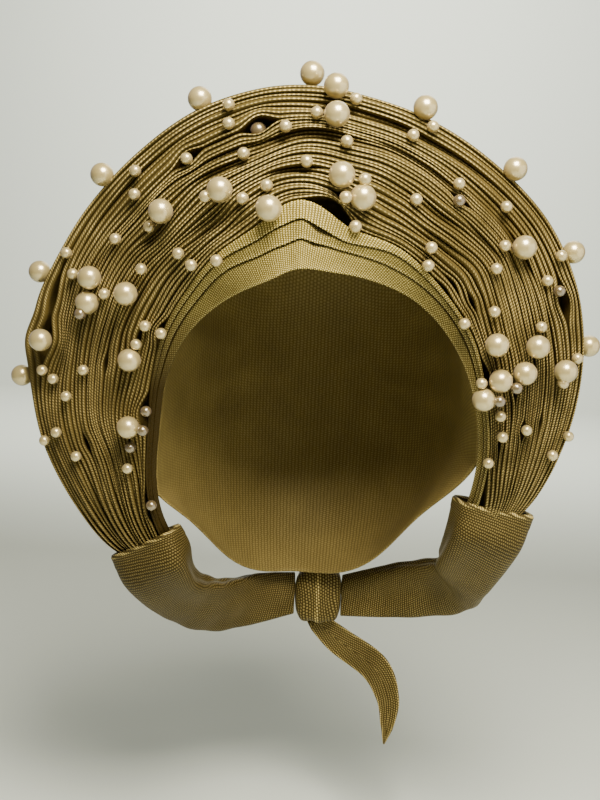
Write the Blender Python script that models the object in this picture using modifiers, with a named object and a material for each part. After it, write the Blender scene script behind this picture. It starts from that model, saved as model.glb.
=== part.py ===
"""A tied gele head tie: pleated halo, plain face folds, crown cover, side wraps, knot, tail and sewn pearls.

Metres, +Z up, the face looks along -Y. The origin is where the crown of the head bears on the cloth.
The design sizes are in millimetres, and MM turns them into metres. A turn is an angle in degrees round the
halo's centre, seen from the front: 0 is straight up, negative is to the left, positive to the right.
"""
import math
from collections import namedtuple

import bmesh
import bpy
from mathutils import Vector
from mathutils.bvhtree import BVHTree

MM = 0.001

# Driving sizes, in millimetres
CLEARANCE = 0.35
HALO_CENTRE_X = -10.0
HALO_CENTRE_Z = -86.0
CLOTH_WALL = 1.2
FOLD_WALL = 1.1

# The halo: sections around the face, left gather to right gather. Radii are taken round the halo's centre,
# depths along Y. The next three columns are the widths that show of the three plain folds, pleats is the depth
# of the pleats from front to back, and lag is how many degrees the rim keeps behind the crest in the gathers.
Section = namedtuple("Section", "turn face_radius face_depth rim_radius rim_depth inner middle crest pleats lag")
SECTIONS = [
    Section(-150, 118.0, -2.0, 139.0, 1.0, 2.6, 1.4, 1.4, 9.0, 6.5),
    Section(-140, 105.5, -12.0, 141.5, -3.0, 2.6, 1.4, 1.4, 11.0, 4.0),
    Section(-120, 78.5, -27.0, 140.0, -10.0, 2.6, 1.4, 1.4, 18.0, 0.0),
    Section(-100, 64.0, -36.0, 137.0, -18.0, 3.2, 1.8, 1.6, 18.0, 0.0),
    Section(-80, 53.5, -46.0, 132.0, -28.0, 5.5, 2.8, 2.2, 18.0, 0.0),
    Section(-60, 45.0, -59.0, 122.0, -40.0, 8.0, 3.5, 2.5, 18.0, 0.0),
    Section(-40, 39.5, -74.0, 118.0, -52.0, 11.0, 4.5, 3.0, 18.0, 0.0),
    Section(-20, 37.5, -84.0, 119.0, -62.0, 11.0, 6.0, 5.0, 18.0, 0.0),
    Section(0, 40.5, -87.5, 121.0, -66.0, 12.0, 8.0, 8.0, 18.0, 0.0),
    Section(20, 42.5, -84.0, 119.0, -62.0, 9.7, 3.8, 6.0, 18.0, 0.0),
    Section(40, 49.0, -74.0, 123.0, -52.0, 9.0, 5.5, 3.3, 18.0, 0.0),
    Section(60, 59.5, -59.0, 130.5, -40.0, 7.5, 2.8, 2.2, 18.0, 0.0),
    Section(80, 71.0, -46.0, 136.0, -28.0, 6.0, 2.0, 1.8, 18.0, 0.0),
    Section(100, 84.5, -36.0, 138.5, -14.0, 3.0, 1.4, 1.4, 18.0, 0.0),
    Section(120, 102.0, -19.0, 140.0, -5.0, 2.6, 1.4, 1.4, 13.0, -3.0),
    Section(132, 114.0, -6.0, 137.0, 0.5, 2.6, 1.4, 1.4, 9.0, -4.5),
]
HALO_START = SECTIONS[0].turn
HALO_END = SECTIONS[-1].turn
FRONT_BULGE = 3.0
STATIONS = 41

# The pleats: the cloth shows about 31. The solid counts 26 and makes one ridge of each pair, so that a ridge
# stands for two or three of the cloth's own.
PLEATS = 26
PLEATS_PER_RIDGE = 2
RIDGES = PLEATS // PLEATS_PER_RIDGE
SLOT_SHARE = 0.67
RIDGE_HALF_WIDTH = 0.8
RIDGE_HALF_SHARE = 0.21
PLEAT_WAVE = 0.34
RIDGE_LEAN = 1.1

# Where the pleats part: a row for each opening. Gap n lies outside pleat n, counted from the face.
Parting = namedtuple("Parting", "gap turn reach opening")
PARTINGS = [
    Parting(0, -136, 6, 2.0),
    Parting(0, -111, 8, 5.5),
    Parting(0, -80, 8, 2.5),
    Parting(0, 12, 13, 5.5),
    Parting(0, 92, 7, 2.5),
    Parting(0, 124, 7, 4.0),
    Parting(2, 60, 7, 1.6),
    Parting(4, 68, 6, 2.0),
    Parting(6, 0, 40, 1.0),
    Parting(8, -94, 7, 1.4),
    Parting(8, 95, 7, 1.5),
    Parting(10, -71, 7, 1.2),
    Parting(12, 104, 6, 1.5),
    Parting(14, -114, 6, 1.5),
    Parting(14, -35, 7, 1.4),
    Parting(14, 63, 8, 1.5),
    Parting(16, 2, 36, 2.4),
    Parting(16, 43, 7, 2.4),
    Parting(18, -11, 9, 3.6),
    Parting(20, -30, 8, 2.4),
    Parting(22, 0, 50, 1.2),
    Parting(22, 75, 10, 5.0),
    Parting(24, -82, 17, 3.4),
]

# The plain folds: what the next fold covers of the one beneath, and how far the cloth turns back at the face and
# at the crest, as shares of the pleats' depth
FOLD_OVERLAP = 3.0
FOLD_GAP = 0.6
SLOPE_STEP = 3.0
FOLD_STEP = 2.4
FACE_HEM_SHARE = 0.39
FACE_HEM_RISE_SHARE = 0.4
CREST_WALL_SHARE = 0.78

# The crown: the head inside the cloth, as a rounded block round its own centre
HEAD_CENTRE_X = -0.5
HEAD_CENTRE_Z = -92.0
HEAD_HALF_WIDTH = 73.5
HEAD_RISE = 92.0
HEAD_DROP = 140.0
HEAD_MIDDLE_Y = 5.0
HEAD_HALF_LENGTH = 97.0
HEAD_PLAN_POWER = 2.6
HEAD_SIDE_POWER = 2.3
FACE_START_TURN = -136.0
FACE_END_TURN = 118.0
NAPE_Y = 55.0
COVER_COLUMNS = 29
COVER_ROWS = 11

# The side wraps: a row for each section of the sleeve, from its mouth to the nape. The edge columns give the
# direction of the section's long side, towards the outer edge.
WrapSection = namedtuple("WrapSection", "x y z edge_x edge_y edge_z width thickness")
LEFT_WRAP = [
    WrapSection(-88.4, -2.0, -185.8, -0.82, 0.36, -0.46, 40.0, 25.0),
    WrapSection(-82.0, 3.5, -199.5, -0.80, 0.40, -0.50, 42.0, 22.5),
    WrapSection(-74.5, 22.0, -219.0, -0.68, 0.40, -0.62, 36.0, 16.0),
    WrapSection(-57.0, 42.0, -231.0, -0.40, 0.25, -0.88, 34.0, 10.0),
    WrapSection(-35.0, 62.0, -232.0, -0.15, 0.05, -0.98, 30.0, 7.5),
    WrapSection(-12.0, 72.0, -230.0, 0.0, 0.0, -1.0, 23.0, 7.0),
]
RIGHT_WRAP = [
    WrapSection(91.5, -3.0, -157.5, 0.92, 0.34, -0.19, 41.5, 26.0),
    WrapSection(87.5, 4.0, -176.0, 0.90, 0.38, -0.30, 39.5, 22.0),
    WrapSection(81.5, 21.0, -198.0, 0.78, 0.30, -0.55, 37.0, 16.0),
    WrapSection(77.0, 40.0, -211.5, 0.50, 0.25, -0.83, 36.0, 10.0),
    WrapSection(48.0, 60.0, -222.0, 0.15, 0.05, -0.98, 31.0, 7.5),
    WrapSection(17.0, 72.0, -230.0, 0.0, 0.0, -1.0, 23.0, 7.0),
]
WRAP_WALL = 1.5
WRAP_STATIONS = 11
MOUTH_STATIONS = 3
WRAP_SIDES = 16
WRAP_CORNER_POWER = 4.0

KNOT_CENTRE = Vector((2.5, 73.0, -230.0))
KNOT_SIZE = Vector((28.3, 20.0, 34.0))
KNOT_ROUNDING = 6.0

# The tail: a row for each section of the free end, from the knot to its point
TailSection = namedtuple("TailSection", "x y z width")
TAIL = [
    TailSection(2.5, 74.0, -247.4, 12.0),
    TailSection(17.0, 77.0, -260.0, 17.0),
    TailSection(39.0, 79.0, -276.0, 18.0),
    TailSection(48.0, 78.0, -294.0, 14.0),
    TailSection(48.5, 76.0, -310.0, 8.5),
    TailSection(47.0, 75.0, -322.0, 1.2),
]
TAIL_WALL = 1.6
TAIL_STATIONS = 9

# The large pearls: those on the front of the pleats, and those on the rim's outer face
LARGE_PEARL = 10.8
PEARL_SIDES = 10
PEARL_RINGS = 5
FrontPearl = namedtuple("FrontPearl", "turn radius")
FRONT_PEARLS = [
    FrontPearl(5.8, 119.5),
    FrontPearl(7.0, 106.3),
    FrontPearl(-25.4, 79.5),
    FrontPearl(-11.2, 65.3),
    FrontPearl(-44.0, 88.4),
    FrontPearl(11.7, 80.8),
    FrontPearl(19.8, 75.0),
    FrontPearl(-70.6, 103.6),
    FrontPearl(-77.0, 101.8),
    FrontPearl(-70.7, 83.8),
    FrontPearl(-88.1, 125.2),
    FrontPearl(-92.1, 79.0),
    FrontPearl(-113.8, 88.1),
    FrontPearl(60.4, 113.5),
    FrontPearl(82.3, 90.3),
    FrontPearl(83.7, 109.7),
    FrontPearl(89.5, 124.7),
    FrontPearl(90.2, 104.2),
    FrontPearl(92.6, 93.0),
    FrontPearl(98.8, 87.0),
]
RimPearl = namedtuple("RimPearl", "turn setback")
RIM_PEARLS = [
    RimPearl(0.5, 3.6),
    RimPearl(-22.8, 2.4),
    RimPearl(24.1, 0.5),
    RimPearl(-49.0, 0.5),
    RimPearl(45.7, 0.5),
    RimPearl(-74.0, 8.0),
    RimPearl(-96.0, 7.0),
    RimPearl(65.7, 5.0),
    RimPearl(84.8, 16.0),
]
SEAT_STEP = 0.05


def column_at(rows, key, column, value):
    """Smooth value of one column of a table at a value of its key column."""
    keys = [getattr(row, key) for row in rows]
    data = [getattr(row, column) for row in rows]
    return smooth_between(keys, data, value)


def smooth_between(keys, data, value):
    """Cubic curve through the data at its keys, read at a value."""
    value = min(max(value, keys[0]), keys[-1])
    i = next(n for n in range(len(keys) - 1) if value <= keys[n + 1])
    before, after = max(i - 1, 0), min(i + 2, len(keys) - 1)
    span = keys[i + 1] - keys[i]
    slope_in = (data[i + 1] - data[before]) / (keys[i + 1] - keys[before]) * span
    slope_out = (data[after] - data[i]) / (keys[after] - keys[i]) * span
    t = (value - keys[i]) / span
    t2, t3 = t * t, t * t * t
    return ((2 * t3 - 3 * t2 + 1) * data[i] + (t3 - 2 * t2 + t) * slope_in
            + (3 * t2 - 2 * t3) * data[i + 1] + (t3 - t2) * slope_out)


def row_at(rows, place):
    """A table's row at a place along it, counted in rows."""
    keys = list(range(len(rows)))
    kind = type(rows[0])
    return kind(*(smooth_between(keys, [getattr(row, name) for row in rows], place) for name in kind._fields))


def spread(start, end, count):
    return [start + (end - start) * n / (count - 1) for n in range(count)]


def blend(start, end, share):
    return start + (end - start) * share


def ease(share):
    share = min(max(share, 0.0), 1.0)
    return share * share * (3 - 2 * share)


def section_at(turn):
    """Every column of the halo's table at a turn."""
    values = [column_at(SECTIONS, "turn", name, turn) for name in Section._fields[1:]]
    return Section(turn, *values)


def polar(turn, radius, depth):
    """A point at a turn and radius round the halo's centre, at a depth along Y."""
    angle = math.radians(turn)
    return Vector((HALO_CENTRE_X + radius * math.sin(angle), depth,
                   HALO_CENTRE_Z + radius * math.cos(angle)))


def crest_radius(section):
    return section.face_radius + section.inner + section.middle + section.crest


def bell(distance, reach):
    """One at the middle of a parting, falling smoothly to zero at its ends."""
    if abs(distance) >= reach:
        return 0.0
    return 0.5 * (1 + math.cos(math.pi * distance / reach))


def opening_at(gap, turn):
    return sum(row.opening * bell(turn - row.turn, row.reach) for row in PARTINGS if row.gap == gap)


def pleat_edges(turn):
    """The section and every pleat's inner and outer radius: pleats share what the partings leave them."""
    section = section_at(turn)
    start, end = crest_radius(section) + CLEARANCE, section.rim_radius
    openings = [opening_at(gap, turn) for gap in range(PLEATS)]
    waves = [1 + PLEAT_WAVE * math.sin(math.radians(turn) * (2 + (pleat * 7) % 5) + 2.4 * pleat)
             for pleat in range(PLEATS)]
    unit = (end - start - sum(openings)) / sum(waves)
    edges, radius = [], start
    for opening, wave in zip(openings, waves):
        inner = radius + opening
        radius = inner + wave * unit
        edges.append((inner, radius))
    return section, edges


def front_depth(section, radius):
    """Depth of the halo's front at a radius: it leans back to the rim and swells a little between."""
    start = crest_radius(section)
    share = (radius - start) / (section.rim_radius - start)
    lean = blend(section.face_depth - 2 * FOLD_STEP, section.rim_depth, share)
    return lean - FRONT_BULGE * math.sin(math.pi * min(max(share, 0.0), 1.0))


def ridge_spans(turn):
    """Inner radius, outer radius and front depth of each ridge of the solid at a turn."""
    section, edges = pleat_edges(turn)
    spans = []
    for ridge in range(RIDGES):
        inner = edges[ridge * PLEATS_PER_RIDGE][0]
        outer = edges[(ridge + 1) * PLEATS_PER_RIDGE - 1][1]
        lean = RIDGE_LEAN * math.sin(math.radians(turn) * (3 + ridge % 3) + 1.9 * ridge)
        spans.append((inner, outer, front_depth(section, 0.5 * (inner + outer)) + lean))
    return spans


def ridge_middle(ridge, inner, outer, half):
    """The first and last ridges stand at the crest and the rim, the others midway between their valleys."""
    if ridge == 0:
        return inner + half
    if ridge == RIDGES - 1:
        return outer - half
    return 0.5 * (inner + outer)


def pleat_profile(turn):
    """Closed outline of the accordion at a turn: its front from the face out to the rim, then its back."""
    section = section_at(turn)
    spans = ridge_spans(turn)
    start, end = crest_radius(section) + CLEARANCE, spans[-1][1]
    slot = SLOT_SHARE * section.pleats
    front = [(start, spans[0][2] + section.pleats)]
    back = []
    for ridge, (inner, outer, depth) in enumerate(spans):
        half = min(RIDGE_HALF_WIDTH, RIDGE_HALF_SHARE * (outer - inner))
        middle = ridge_middle(ridge, inner, outer, half)
        front += [(middle - half, depth), (middle + half, depth)]
        crease = min(max(middle, inner + CLOTH_WALL), outer - CLOTH_WALL)
        back.append((crease, depth + section.pleats - slot))
        if ridge + 1 < RIDGES:
            valley = 0.5 * (outer + spans[ridge + 1][0])
            level = 0.5 * (depth + spans[ridge + 1][2])
            front.append((valley, level + slot))
            back.append((valley, level + section.pleats))
    foot = spans[-1][2] + section.pleats
    front.append((end, foot))
    wall = min(CLOTH_WALL, 0.3 * (end - spans[-1][0]))
    outline = front + [(end - wall, foot)] + back[::-1] + [(start + wall, front[0][1])]
    return [polar(turn + section.lag * (radius - start) / (end - start), radius, depth)
            for radius, depth in outline]


def inner_fold_profile(turn):
    """The fold next to the face, with the hem that turns back against the head."""
    section = section_at(turn)
    start, depth = section.face_radius, section.face_depth
    rise = FACE_HEM_RISE_SHARE * section.inner
    covered = min(FOLD_OVERLAP, section.middle + covered_by_crest(section))
    return [polar(turn, start + rise, depth + FACE_HEM_SHARE * section.pleats), polar(turn, start, depth),
            polar(turn, start + section.inner + covered, depth)]


def slope_stretch(turn):
    """How much longer than a wall's thickness its cut along a radius is, where the face's edge runs slanted."""
    before, after = turn - SLOPE_STEP, turn + SLOPE_STEP
    rise = column_at(SECTIONS, "turn", "face_radius", after) - column_at(SECTIONS, "turn", "face_radius", before)
    run = math.radians(after - before) * column_at(SECTIONS, "turn", "face_radius", turn)
    return math.hypot(1, rise / run)


def covered_by_crest(section):
    """What the crest fold covers of the folds beneath, less where it is too narrow for its own wall."""
    return min(FOLD_OVERLAP, section.crest - (FOLD_WALL + FOLD_GAP) * slope_stretch(section.turn))


def middle_fold_profile(turn):
    section = section_at(turn)
    start = section.face_radius + section.inner
    depth = section.face_depth - FOLD_STEP
    return [polar(turn, start, depth), polar(turn, start + section.middle + covered_by_crest(section), depth)]


def crest_fold_profile(turn):
    """The outer fold, whose crest turns back beside the first pleat."""
    section = section_at(turn)
    end = crest_radius(section)
    depth = section.face_depth - 2 * FOLD_STEP
    return [polar(turn, end - section.crest, depth), polar(turn, end, depth),
            polar(turn, end, depth + CREST_WALL_SHARE * section.pleats)]


def head_radius(turn, share):
    """Radius of the head round its own centre, a share of the way from its middle to its front or back."""
    sine, cosine = math.sin(math.radians(turn)), math.cos(math.radians(turn))
    height = HEAD_RISE if cosine > 0 else HEAD_DROP
    plan = (abs(sine / HEAD_HALF_WIDTH) ** HEAD_PLAN_POWER
            + abs(cosine / height) ** HEAD_PLAN_POWER) ** (-1 / HEAD_PLAN_POWER)
    return plan * max(1 - abs(share) ** HEAD_SIDE_POWER, 0.0) ** (1 / HEAD_SIDE_POWER)


def cover_edge(turn):
    """Radius and depth of the cover's open edge: behind the face hem, then along the neck to the nape."""
    mouth = min(max(turn, FACE_START_TURN), FACE_END_TURN)
    section = section_at(mouth)
    radius = section.face_radius + FACE_HEM_RISE_SHARE * section.inner
    depth = section.face_depth + FACE_HEM_SHARE * section.pleats + CLEARANCE + CLOTH_WALL
    if turn == mouth:
        return radius, depth
    past = ease((turn - mouth) / (math.copysign(180, turn) - mouth))
    depth = blend(depth, NAPE_Y, past)
    return blend(radius, head_radius(turn, (depth - HEAD_MIDDLE_Y) / HEAD_HALF_LENGTH), past), depth


def cover_point(turn, along):
    """A point of the crown cover, from its open edge over the head to the middle of the back."""
    edge_radius, edge_depth = cover_edge(turn)
    first = math.asin((edge_depth - HEAD_MIDDLE_Y) / HEAD_HALF_LENGTH)
    share = math.sin(blend(first, math.pi / 2, along))
    correction = (edge_radius - head_radius(turn, math.sin(first))) * (1 - along) ** 4
    radius = head_radius(turn, share) + correction
    shift = ease(along * 2)
    centre_x = blend(HALO_CENTRE_X, HEAD_CENTRE_X, shift)
    centre_z = blend(HALO_CENTRE_Z, HEAD_CENTRE_Z, shift)
    angle = math.radians(turn)
    return Vector((centre_x + radius * math.sin(angle), HEAD_MIDDLE_Y + HEAD_HALF_LENGTH * share,
                   centre_z + radius * math.cos(angle)))


def material(name, colour, roughness, metallic=0.0):
    """A plain material of a part's colour and gloss."""
    made = bpy.data.materials.new(name)
    made.use_nodes = True
    shader = made.node_tree.nodes["Principled BSDF"]
    shader.inputs["Base Color"].default_value = (*colour, 1.0)
    shader.inputs["Roughness"].default_value = roughness
    shader.inputs["Metallic"].default_value = metallic
    return made


def add_object(name, mesh, finish, collection):
    """A named object for one piece, with its material."""
    piece = bpy.data.objects.new(name, mesh)
    mesh.materials.append(finish)
    collection.objects.link(piece)
    return piece


def mesh_from(name, points, faces):
    """A mesh of points in millimetres, turned into metres."""
    mesh = bpy.data.meshes.new(name)
    mesh.from_pydata([point * MM for point in points], [], faces)
    mesh.update()
    return mesh


def point_outwards(mesh):
    """Faces of a closed body turned outwards, with its many-sided ends cut into triangles."""
    shape = bmesh.new()
    shape.from_mesh(mesh)
    bmesh.ops.recalc_face_normals(shape, faces=shape.faces)
    bmesh.ops.triangulate(shape, faces=[face for face in shape.faces if len(face.verts) > 4])
    shape.to_mesh(mesh)
    shape.free()


def loft_closed(name, sections):
    """A closed body through rings of equal count, with both end rings capped."""
    count = len(sections[0])
    points = [point for ring in sections for point in ring]
    faces = ring_faces(len(sections), count)
    faces.append(tuple(range(count))[::-1])
    faces.append(tuple(range(len(points) - count, len(points))))
    mesh = mesh_from(name, points, faces)
    point_outwards(mesh)
    return mesh


def ring_faces(rings, count):
    """Quads between rings of equal count."""
    return [(row * count + n, row * count + (n + 1) % count,
             (row + 1) * count + (n + 1) % count, (row + 1) * count + n)
            for row in range(rings - 1) for n in range(count)]


def strip_faces(rows, count):
    """Quads between open rows of equal count."""
    return [(row * count + n, row * count + n + 1, (row + 1) * count + n + 1, (row + 1) * count + n)
            for row in range(rows - 1) for n in range(count - 1)]


def add_wall(piece, thickness, offset):
    """Gives an open surface the thickness of its cloth."""
    wall = piece.modifiers.new("cloth_wall", "SOLIDIFY")
    wall.thickness = thickness * MM
    wall.offset = offset
    wall.use_even_offset = True
    wall.use_quality_normals = True


def build_halo(collection, finish):
    """The accordion of pleats, from inside the left wrap over the top to inside the right wrap."""
    sections = [pleat_profile(turn) for turn in spread(HALO_START, HALO_END, STATIONS)]
    return add_object("pleated_fan", loft_closed("pleated_fan", sections), finish, collection)


def build_fold(name, profile, collection, finish):
    """One plain fold that frames the face: a strip of cloth along the turns, thickened backwards."""
    sections = [profile(turn) for turn in spread(HALO_START, HALO_END, STATIONS)]
    points = [point for row in sections for point in row]
    mesh = mesh_from(name, points, strip_faces(len(sections), len(sections[0])))
    piece = add_object(name, mesh, finish, collection)
    add_wall(piece, FOLD_WALL, 1)
    return piece


def build_cover(collection, finish):
    """The plain inner layer over the crown and the back of the head, open at the face and the neck."""
    points = [cover_point(turn, along) for along in spread(0, 1, COVER_ROWS)
              for turn in spread(-180, 180, COVER_COLUMNS)]
    mesh = mesh_from("crown_cover", points, strip_faces(COVER_ROWS, COVER_COLUMNS))
    shape = bmesh.new()
    shape.from_mesh(mesh)
    bmesh.ops.remove_doubles(shape, verts=shape.verts, dist=0.01 * MM)
    shape.to_mesh(mesh)
    shape.free()
    piece = add_object("crown_cover", mesh, finish, collection)
    add_wall(piece, CLOTH_WALL, 1)
    return piece


def wrap_ring(section, heading):
    """One rounded section of a sleeve, across its heading and along its own edge."""
    edge = Vector((section.edge_x, section.edge_y, section.edge_z)).normalized()
    face = heading.cross(edge).normalized()
    centre = Vector((section.x, section.y, section.z))
    ring = []
    for n in range(WRAP_SIDES):
        angle = 2 * math.pi * (n + 0.5) / WRAP_SIDES
        across, through = math.cos(angle), math.sin(angle)
        size = (abs(across) ** WRAP_CORNER_POWER + abs(through) ** WRAP_CORNER_POWER) ** (-1 / WRAP_CORNER_POWER)
        ring.append(centre + edge * (0.5 * section.width * size * across)
                    + face * (0.5 * section.thickness * size * through))
    return ring


def build_wrap(name, rows, collection, finish):
    """A sleeve of cloth round the gathered pleats: level at its mouth, flat at the nape, open at both ends."""
    places = spread(0, len(rows) - 1, WRAP_STATIONS)
    sections = [row_at(rows, place) for place in places]
    centres = [Vector((section.x, section.y, section.z)) for section in sections]
    ahead = centres[1:] + [KNOT_CENTRE]
    behind = centres[:1] + centres[:-1]
    behind[-1] = centres[-1]
    headings = [after - before for after, before in zip(ahead, behind)]
    for n, heading in enumerate(headings[:MOUTH_STATIONS]):
        heading.y *= n / MOUTH_STATIONS
    rings = [wrap_ring(section, heading) for section, heading in zip(sections, headings)]
    points = [point for ring in rings for point in ring]
    mesh = mesh_from(name, points, ring_faces(len(rings), WRAP_SIDES))
    shape = bmesh.new()
    shape.from_mesh(mesh)
    bmesh.ops.recalc_face_normals(shape, faces=shape.faces)
    shape.to_mesh(mesh)
    shape.free()
    piece = add_object(name, mesh, finish, collection)
    add_wall(piece, WRAP_WALL, -1)
    return piece


def build_knot(collection, finish):
    """The knot behind the neck, a rounded lump of tied cloth between the two wraps."""
    mesh = bpy.data.meshes.new("nape_knot")
    shape = bmesh.new()
    bmesh.ops.create_cube(shape, size=MM)
    bmesh.ops.scale(shape, verts=shape.verts, vec=KNOT_SIZE)
    bmesh.ops.translate(shape, verts=shape.verts, vec=KNOT_CENTRE * MM)
    shape.to_mesh(mesh)
    shape.free()
    piece = add_object("nape_knot", mesh, finish, collection)
    rounding = piece.modifiers.new("rounding", "BEVEL")
    rounding.width = KNOT_ROUNDING * MM
    rounding.segments = 3
    return piece


def build_tail(collection, finish):
    """The pointed free end that hangs beside the neck, a flat strip of folded cloth."""
    sections = [row_at(TAIL, place) for place in spread(0, len(TAIL) - 1, TAIL_STATIONS)]
    centres = [Vector((section.x, section.y, section.z)) for section in sections]
    points = []
    for n, section in enumerate(sections):
        heading = centres[min(n + 1, len(centres) - 1)] - centres[max(n - 1, 0)] if n else Vector((0, 0, -1))
        across = heading.cross(Vector((0, 1, 0))).normalized()
        points += [centres[n] - across * (0.5 * section.width), centres[n] + across * (0.5 * section.width)]
    mesh = mesh_from("tie_tail", points, strip_faces(len(sections), 2))
    piece = add_object("tie_tail", mesh, finish, collection)
    add_wall(piece, TAIL_WALL, 0)
    return piece


def surface_tree(pieces):
    """A search tree over the finished surfaces of some pieces."""
    graph = bpy.context.evaluated_depsgraph_get()
    points, faces = [], []
    for piece in pieces:
        mesh = piece.evaluated_get(graph).to_mesh()
        start = len(points)
        points += [vertex.co / MM for vertex in mesh.vertices]
        faces += [[start + n for n in polygon.vertices] for polygon in mesh.polygons]
        piece.evaluated_get(graph).to_mesh_clear()
    return BVHTree.FromPolygons(points, faces)


def is_clear(centre, radius, tree, placed):
    """True where a pearl at a centre keeps its clearance to the cloth and to the pearls before it."""
    reach = radius + CLEARANCE
    if tree.find_nearest(centre, reach)[0] is not None:
        return False
    return all((centre - other).length > 2 * radius + CLEARANCE for other in placed)


def seat(start, direction, radius, tree, placed, travel):
    """Moves a pearl along a direction until it would touch, and returns the last clear centre."""
    centre, moved = start.copy(), 0.0
    while moved < travel and is_clear(centre + direction * SEAT_STEP, radius, tree, placed):
        centre += direction * SEAT_STEP
        moved += SEAT_STEP
    return centre


def seat_pearls(tree):
    """Centres of all large pearls, each moved onto the cloth that carries it."""
    radius = 0.5 * LARGE_PEARL
    placed = []
    for pearl in FRONT_PEARLS:
        section = section_at(pearl.turn)
        depth = front_depth(section, pearl.radius) - 3 * radius
        start = polar(pearl.turn, pearl.radius, depth)
        placed.append(seat(start, Vector((0, 1, 0)), radius, tree, placed, 4 * radius))
    for pearl in RIM_PEARLS:
        section = section_at(pearl.turn)
        start = polar(pearl.turn, section.rim_radius + 2 * radius, section.rim_depth + pearl.setback)
        inward = (polar(pearl.turn, 0, start.y) - start).normalized()
        placed.append(seat(start, inward, radius, tree, placed, 2 * radius))
    return placed


def build_pearls(tree, collection, finish):
    """The large pearls, each a round bead with its own mesh."""
    for number, centre in enumerate(seat_pearls(tree), 1):
        name = f"pearl_large_{number:02d}"
        mesh = bpy.data.meshes.new(name)
        shape = bmesh.new()
        bmesh.ops.create_uvsphere(shape, u_segments=PEARL_SIDES, v_segments=PEARL_RINGS,
                                  radius=0.5 * LARGE_PEARL * MM)
        bmesh.ops.translate(shape, verts=shape.verts, vec=centre * MM)
        shape.to_mesh(mesh)
        shape.free()
        mesh.shade_smooth()
        add_object(name, mesh, finish, collection)


def main():
    for item in list(bpy.data.objects):
        bpy.data.objects.remove(item, do_unlink=True)
    collection = bpy.data.collections.new("gele_head_tie")
    bpy.context.scene.collection.children.link(collection)
    cloth = material("gold_khaki_cloth", (0.42, 0.33, 0.14), 0.6)
    pearl = material("ivory_pearl", (0.83, 0.76, 0.58), 0.2)
    fan = build_halo(collection, cloth)
    folds = [build_fold("band_inner_fold", inner_fold_profile, collection, cloth),
             build_fold("band_middle_fold", middle_fold_profile, collection, cloth),
             build_fold("band_crest_fold", crest_fold_profile, collection, cloth)]
    build_cover(collection, cloth)
    build_wrap("side_wrap_left", LEFT_WRAP, collection, cloth)
    build_wrap("side_wrap_right", RIGHT_WRAP, collection, cloth)
    build_knot(collection, cloth)
    build_tail(collection, cloth)
    build_pearls(surface_tree([fan, *folds]), collection, pearl)


main()
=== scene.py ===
# %% [markdown]
# A gele is one long, stiff woven cloth. It is pleated, stood up round the face and tied behind the neck, and
# this one has loose pearls sewn on. The solids already say where each layer sits. This lesson dresses them:
# fine pleats, fold edges, weave and pearl lustre. First it loads the solids as a fixed frame.

# %% Load the frame
import math
from collections import namedtuple

import bmesh
import bpy
from mathutils import Matrix, Vector
from mathutils.bvhtree import BVHTree


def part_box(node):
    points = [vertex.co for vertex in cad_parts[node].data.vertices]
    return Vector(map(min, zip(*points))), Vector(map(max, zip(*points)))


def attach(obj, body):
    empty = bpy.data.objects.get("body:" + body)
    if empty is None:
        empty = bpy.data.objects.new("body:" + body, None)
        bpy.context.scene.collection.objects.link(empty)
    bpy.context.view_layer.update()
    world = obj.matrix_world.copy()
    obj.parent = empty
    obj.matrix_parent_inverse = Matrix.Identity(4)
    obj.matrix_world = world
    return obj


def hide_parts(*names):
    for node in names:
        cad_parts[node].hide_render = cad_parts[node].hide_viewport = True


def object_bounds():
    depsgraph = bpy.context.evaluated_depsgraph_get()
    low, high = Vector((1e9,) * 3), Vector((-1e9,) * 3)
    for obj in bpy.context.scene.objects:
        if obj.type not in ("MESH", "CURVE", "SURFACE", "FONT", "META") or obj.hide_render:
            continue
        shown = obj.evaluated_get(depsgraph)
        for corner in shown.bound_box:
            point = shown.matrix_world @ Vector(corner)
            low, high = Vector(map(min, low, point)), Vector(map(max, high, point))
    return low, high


MM = 0.001
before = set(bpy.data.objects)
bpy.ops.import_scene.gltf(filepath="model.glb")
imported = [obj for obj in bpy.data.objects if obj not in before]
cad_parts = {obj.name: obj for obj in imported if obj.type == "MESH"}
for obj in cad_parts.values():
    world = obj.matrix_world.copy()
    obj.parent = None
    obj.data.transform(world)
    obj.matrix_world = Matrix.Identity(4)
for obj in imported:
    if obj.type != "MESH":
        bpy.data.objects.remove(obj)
CAD_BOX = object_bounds()
for item in bpy.context.selected_objects:
    item.select_set(False)
print("solids in the frame:", len(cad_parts))

# %% [markdown]
# The camera stands a little above the middle of the face opening and a touch to the right, so close that the
# perspective is strong. A focal length of 950 pixels in an image 800 pixels high fits the pearls at the rim
# and at the face at once. The photograph leans by less than three degrees, so the camera rolls by as much.

# %% Camera
IMAGE_HEIGHT = 800
FOCAL_PIXELS = 950.0
SENSOR_HEIGHT = 24.0
CAMERA_TARGET = Vector((-7.1, -79.5, -100.7)) * MM
CAMERA_DISTANCE = 408.1 * MM
CAMERA_AZIMUTH = math.radians(2.4)
CAMERA_ELEVATION = math.radians(5.0)
CAMERA_ROLL = math.radians(2.6)


def direction_of(azimuth, elevation):
    """A unit vector from the object towards an azimuth, where 0 is the front, and an elevation."""
    return Vector((math.sin(azimuth) * math.cos(elevation), -math.cos(azimuth) * math.cos(elevation),
                   math.sin(elevation)))


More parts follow.
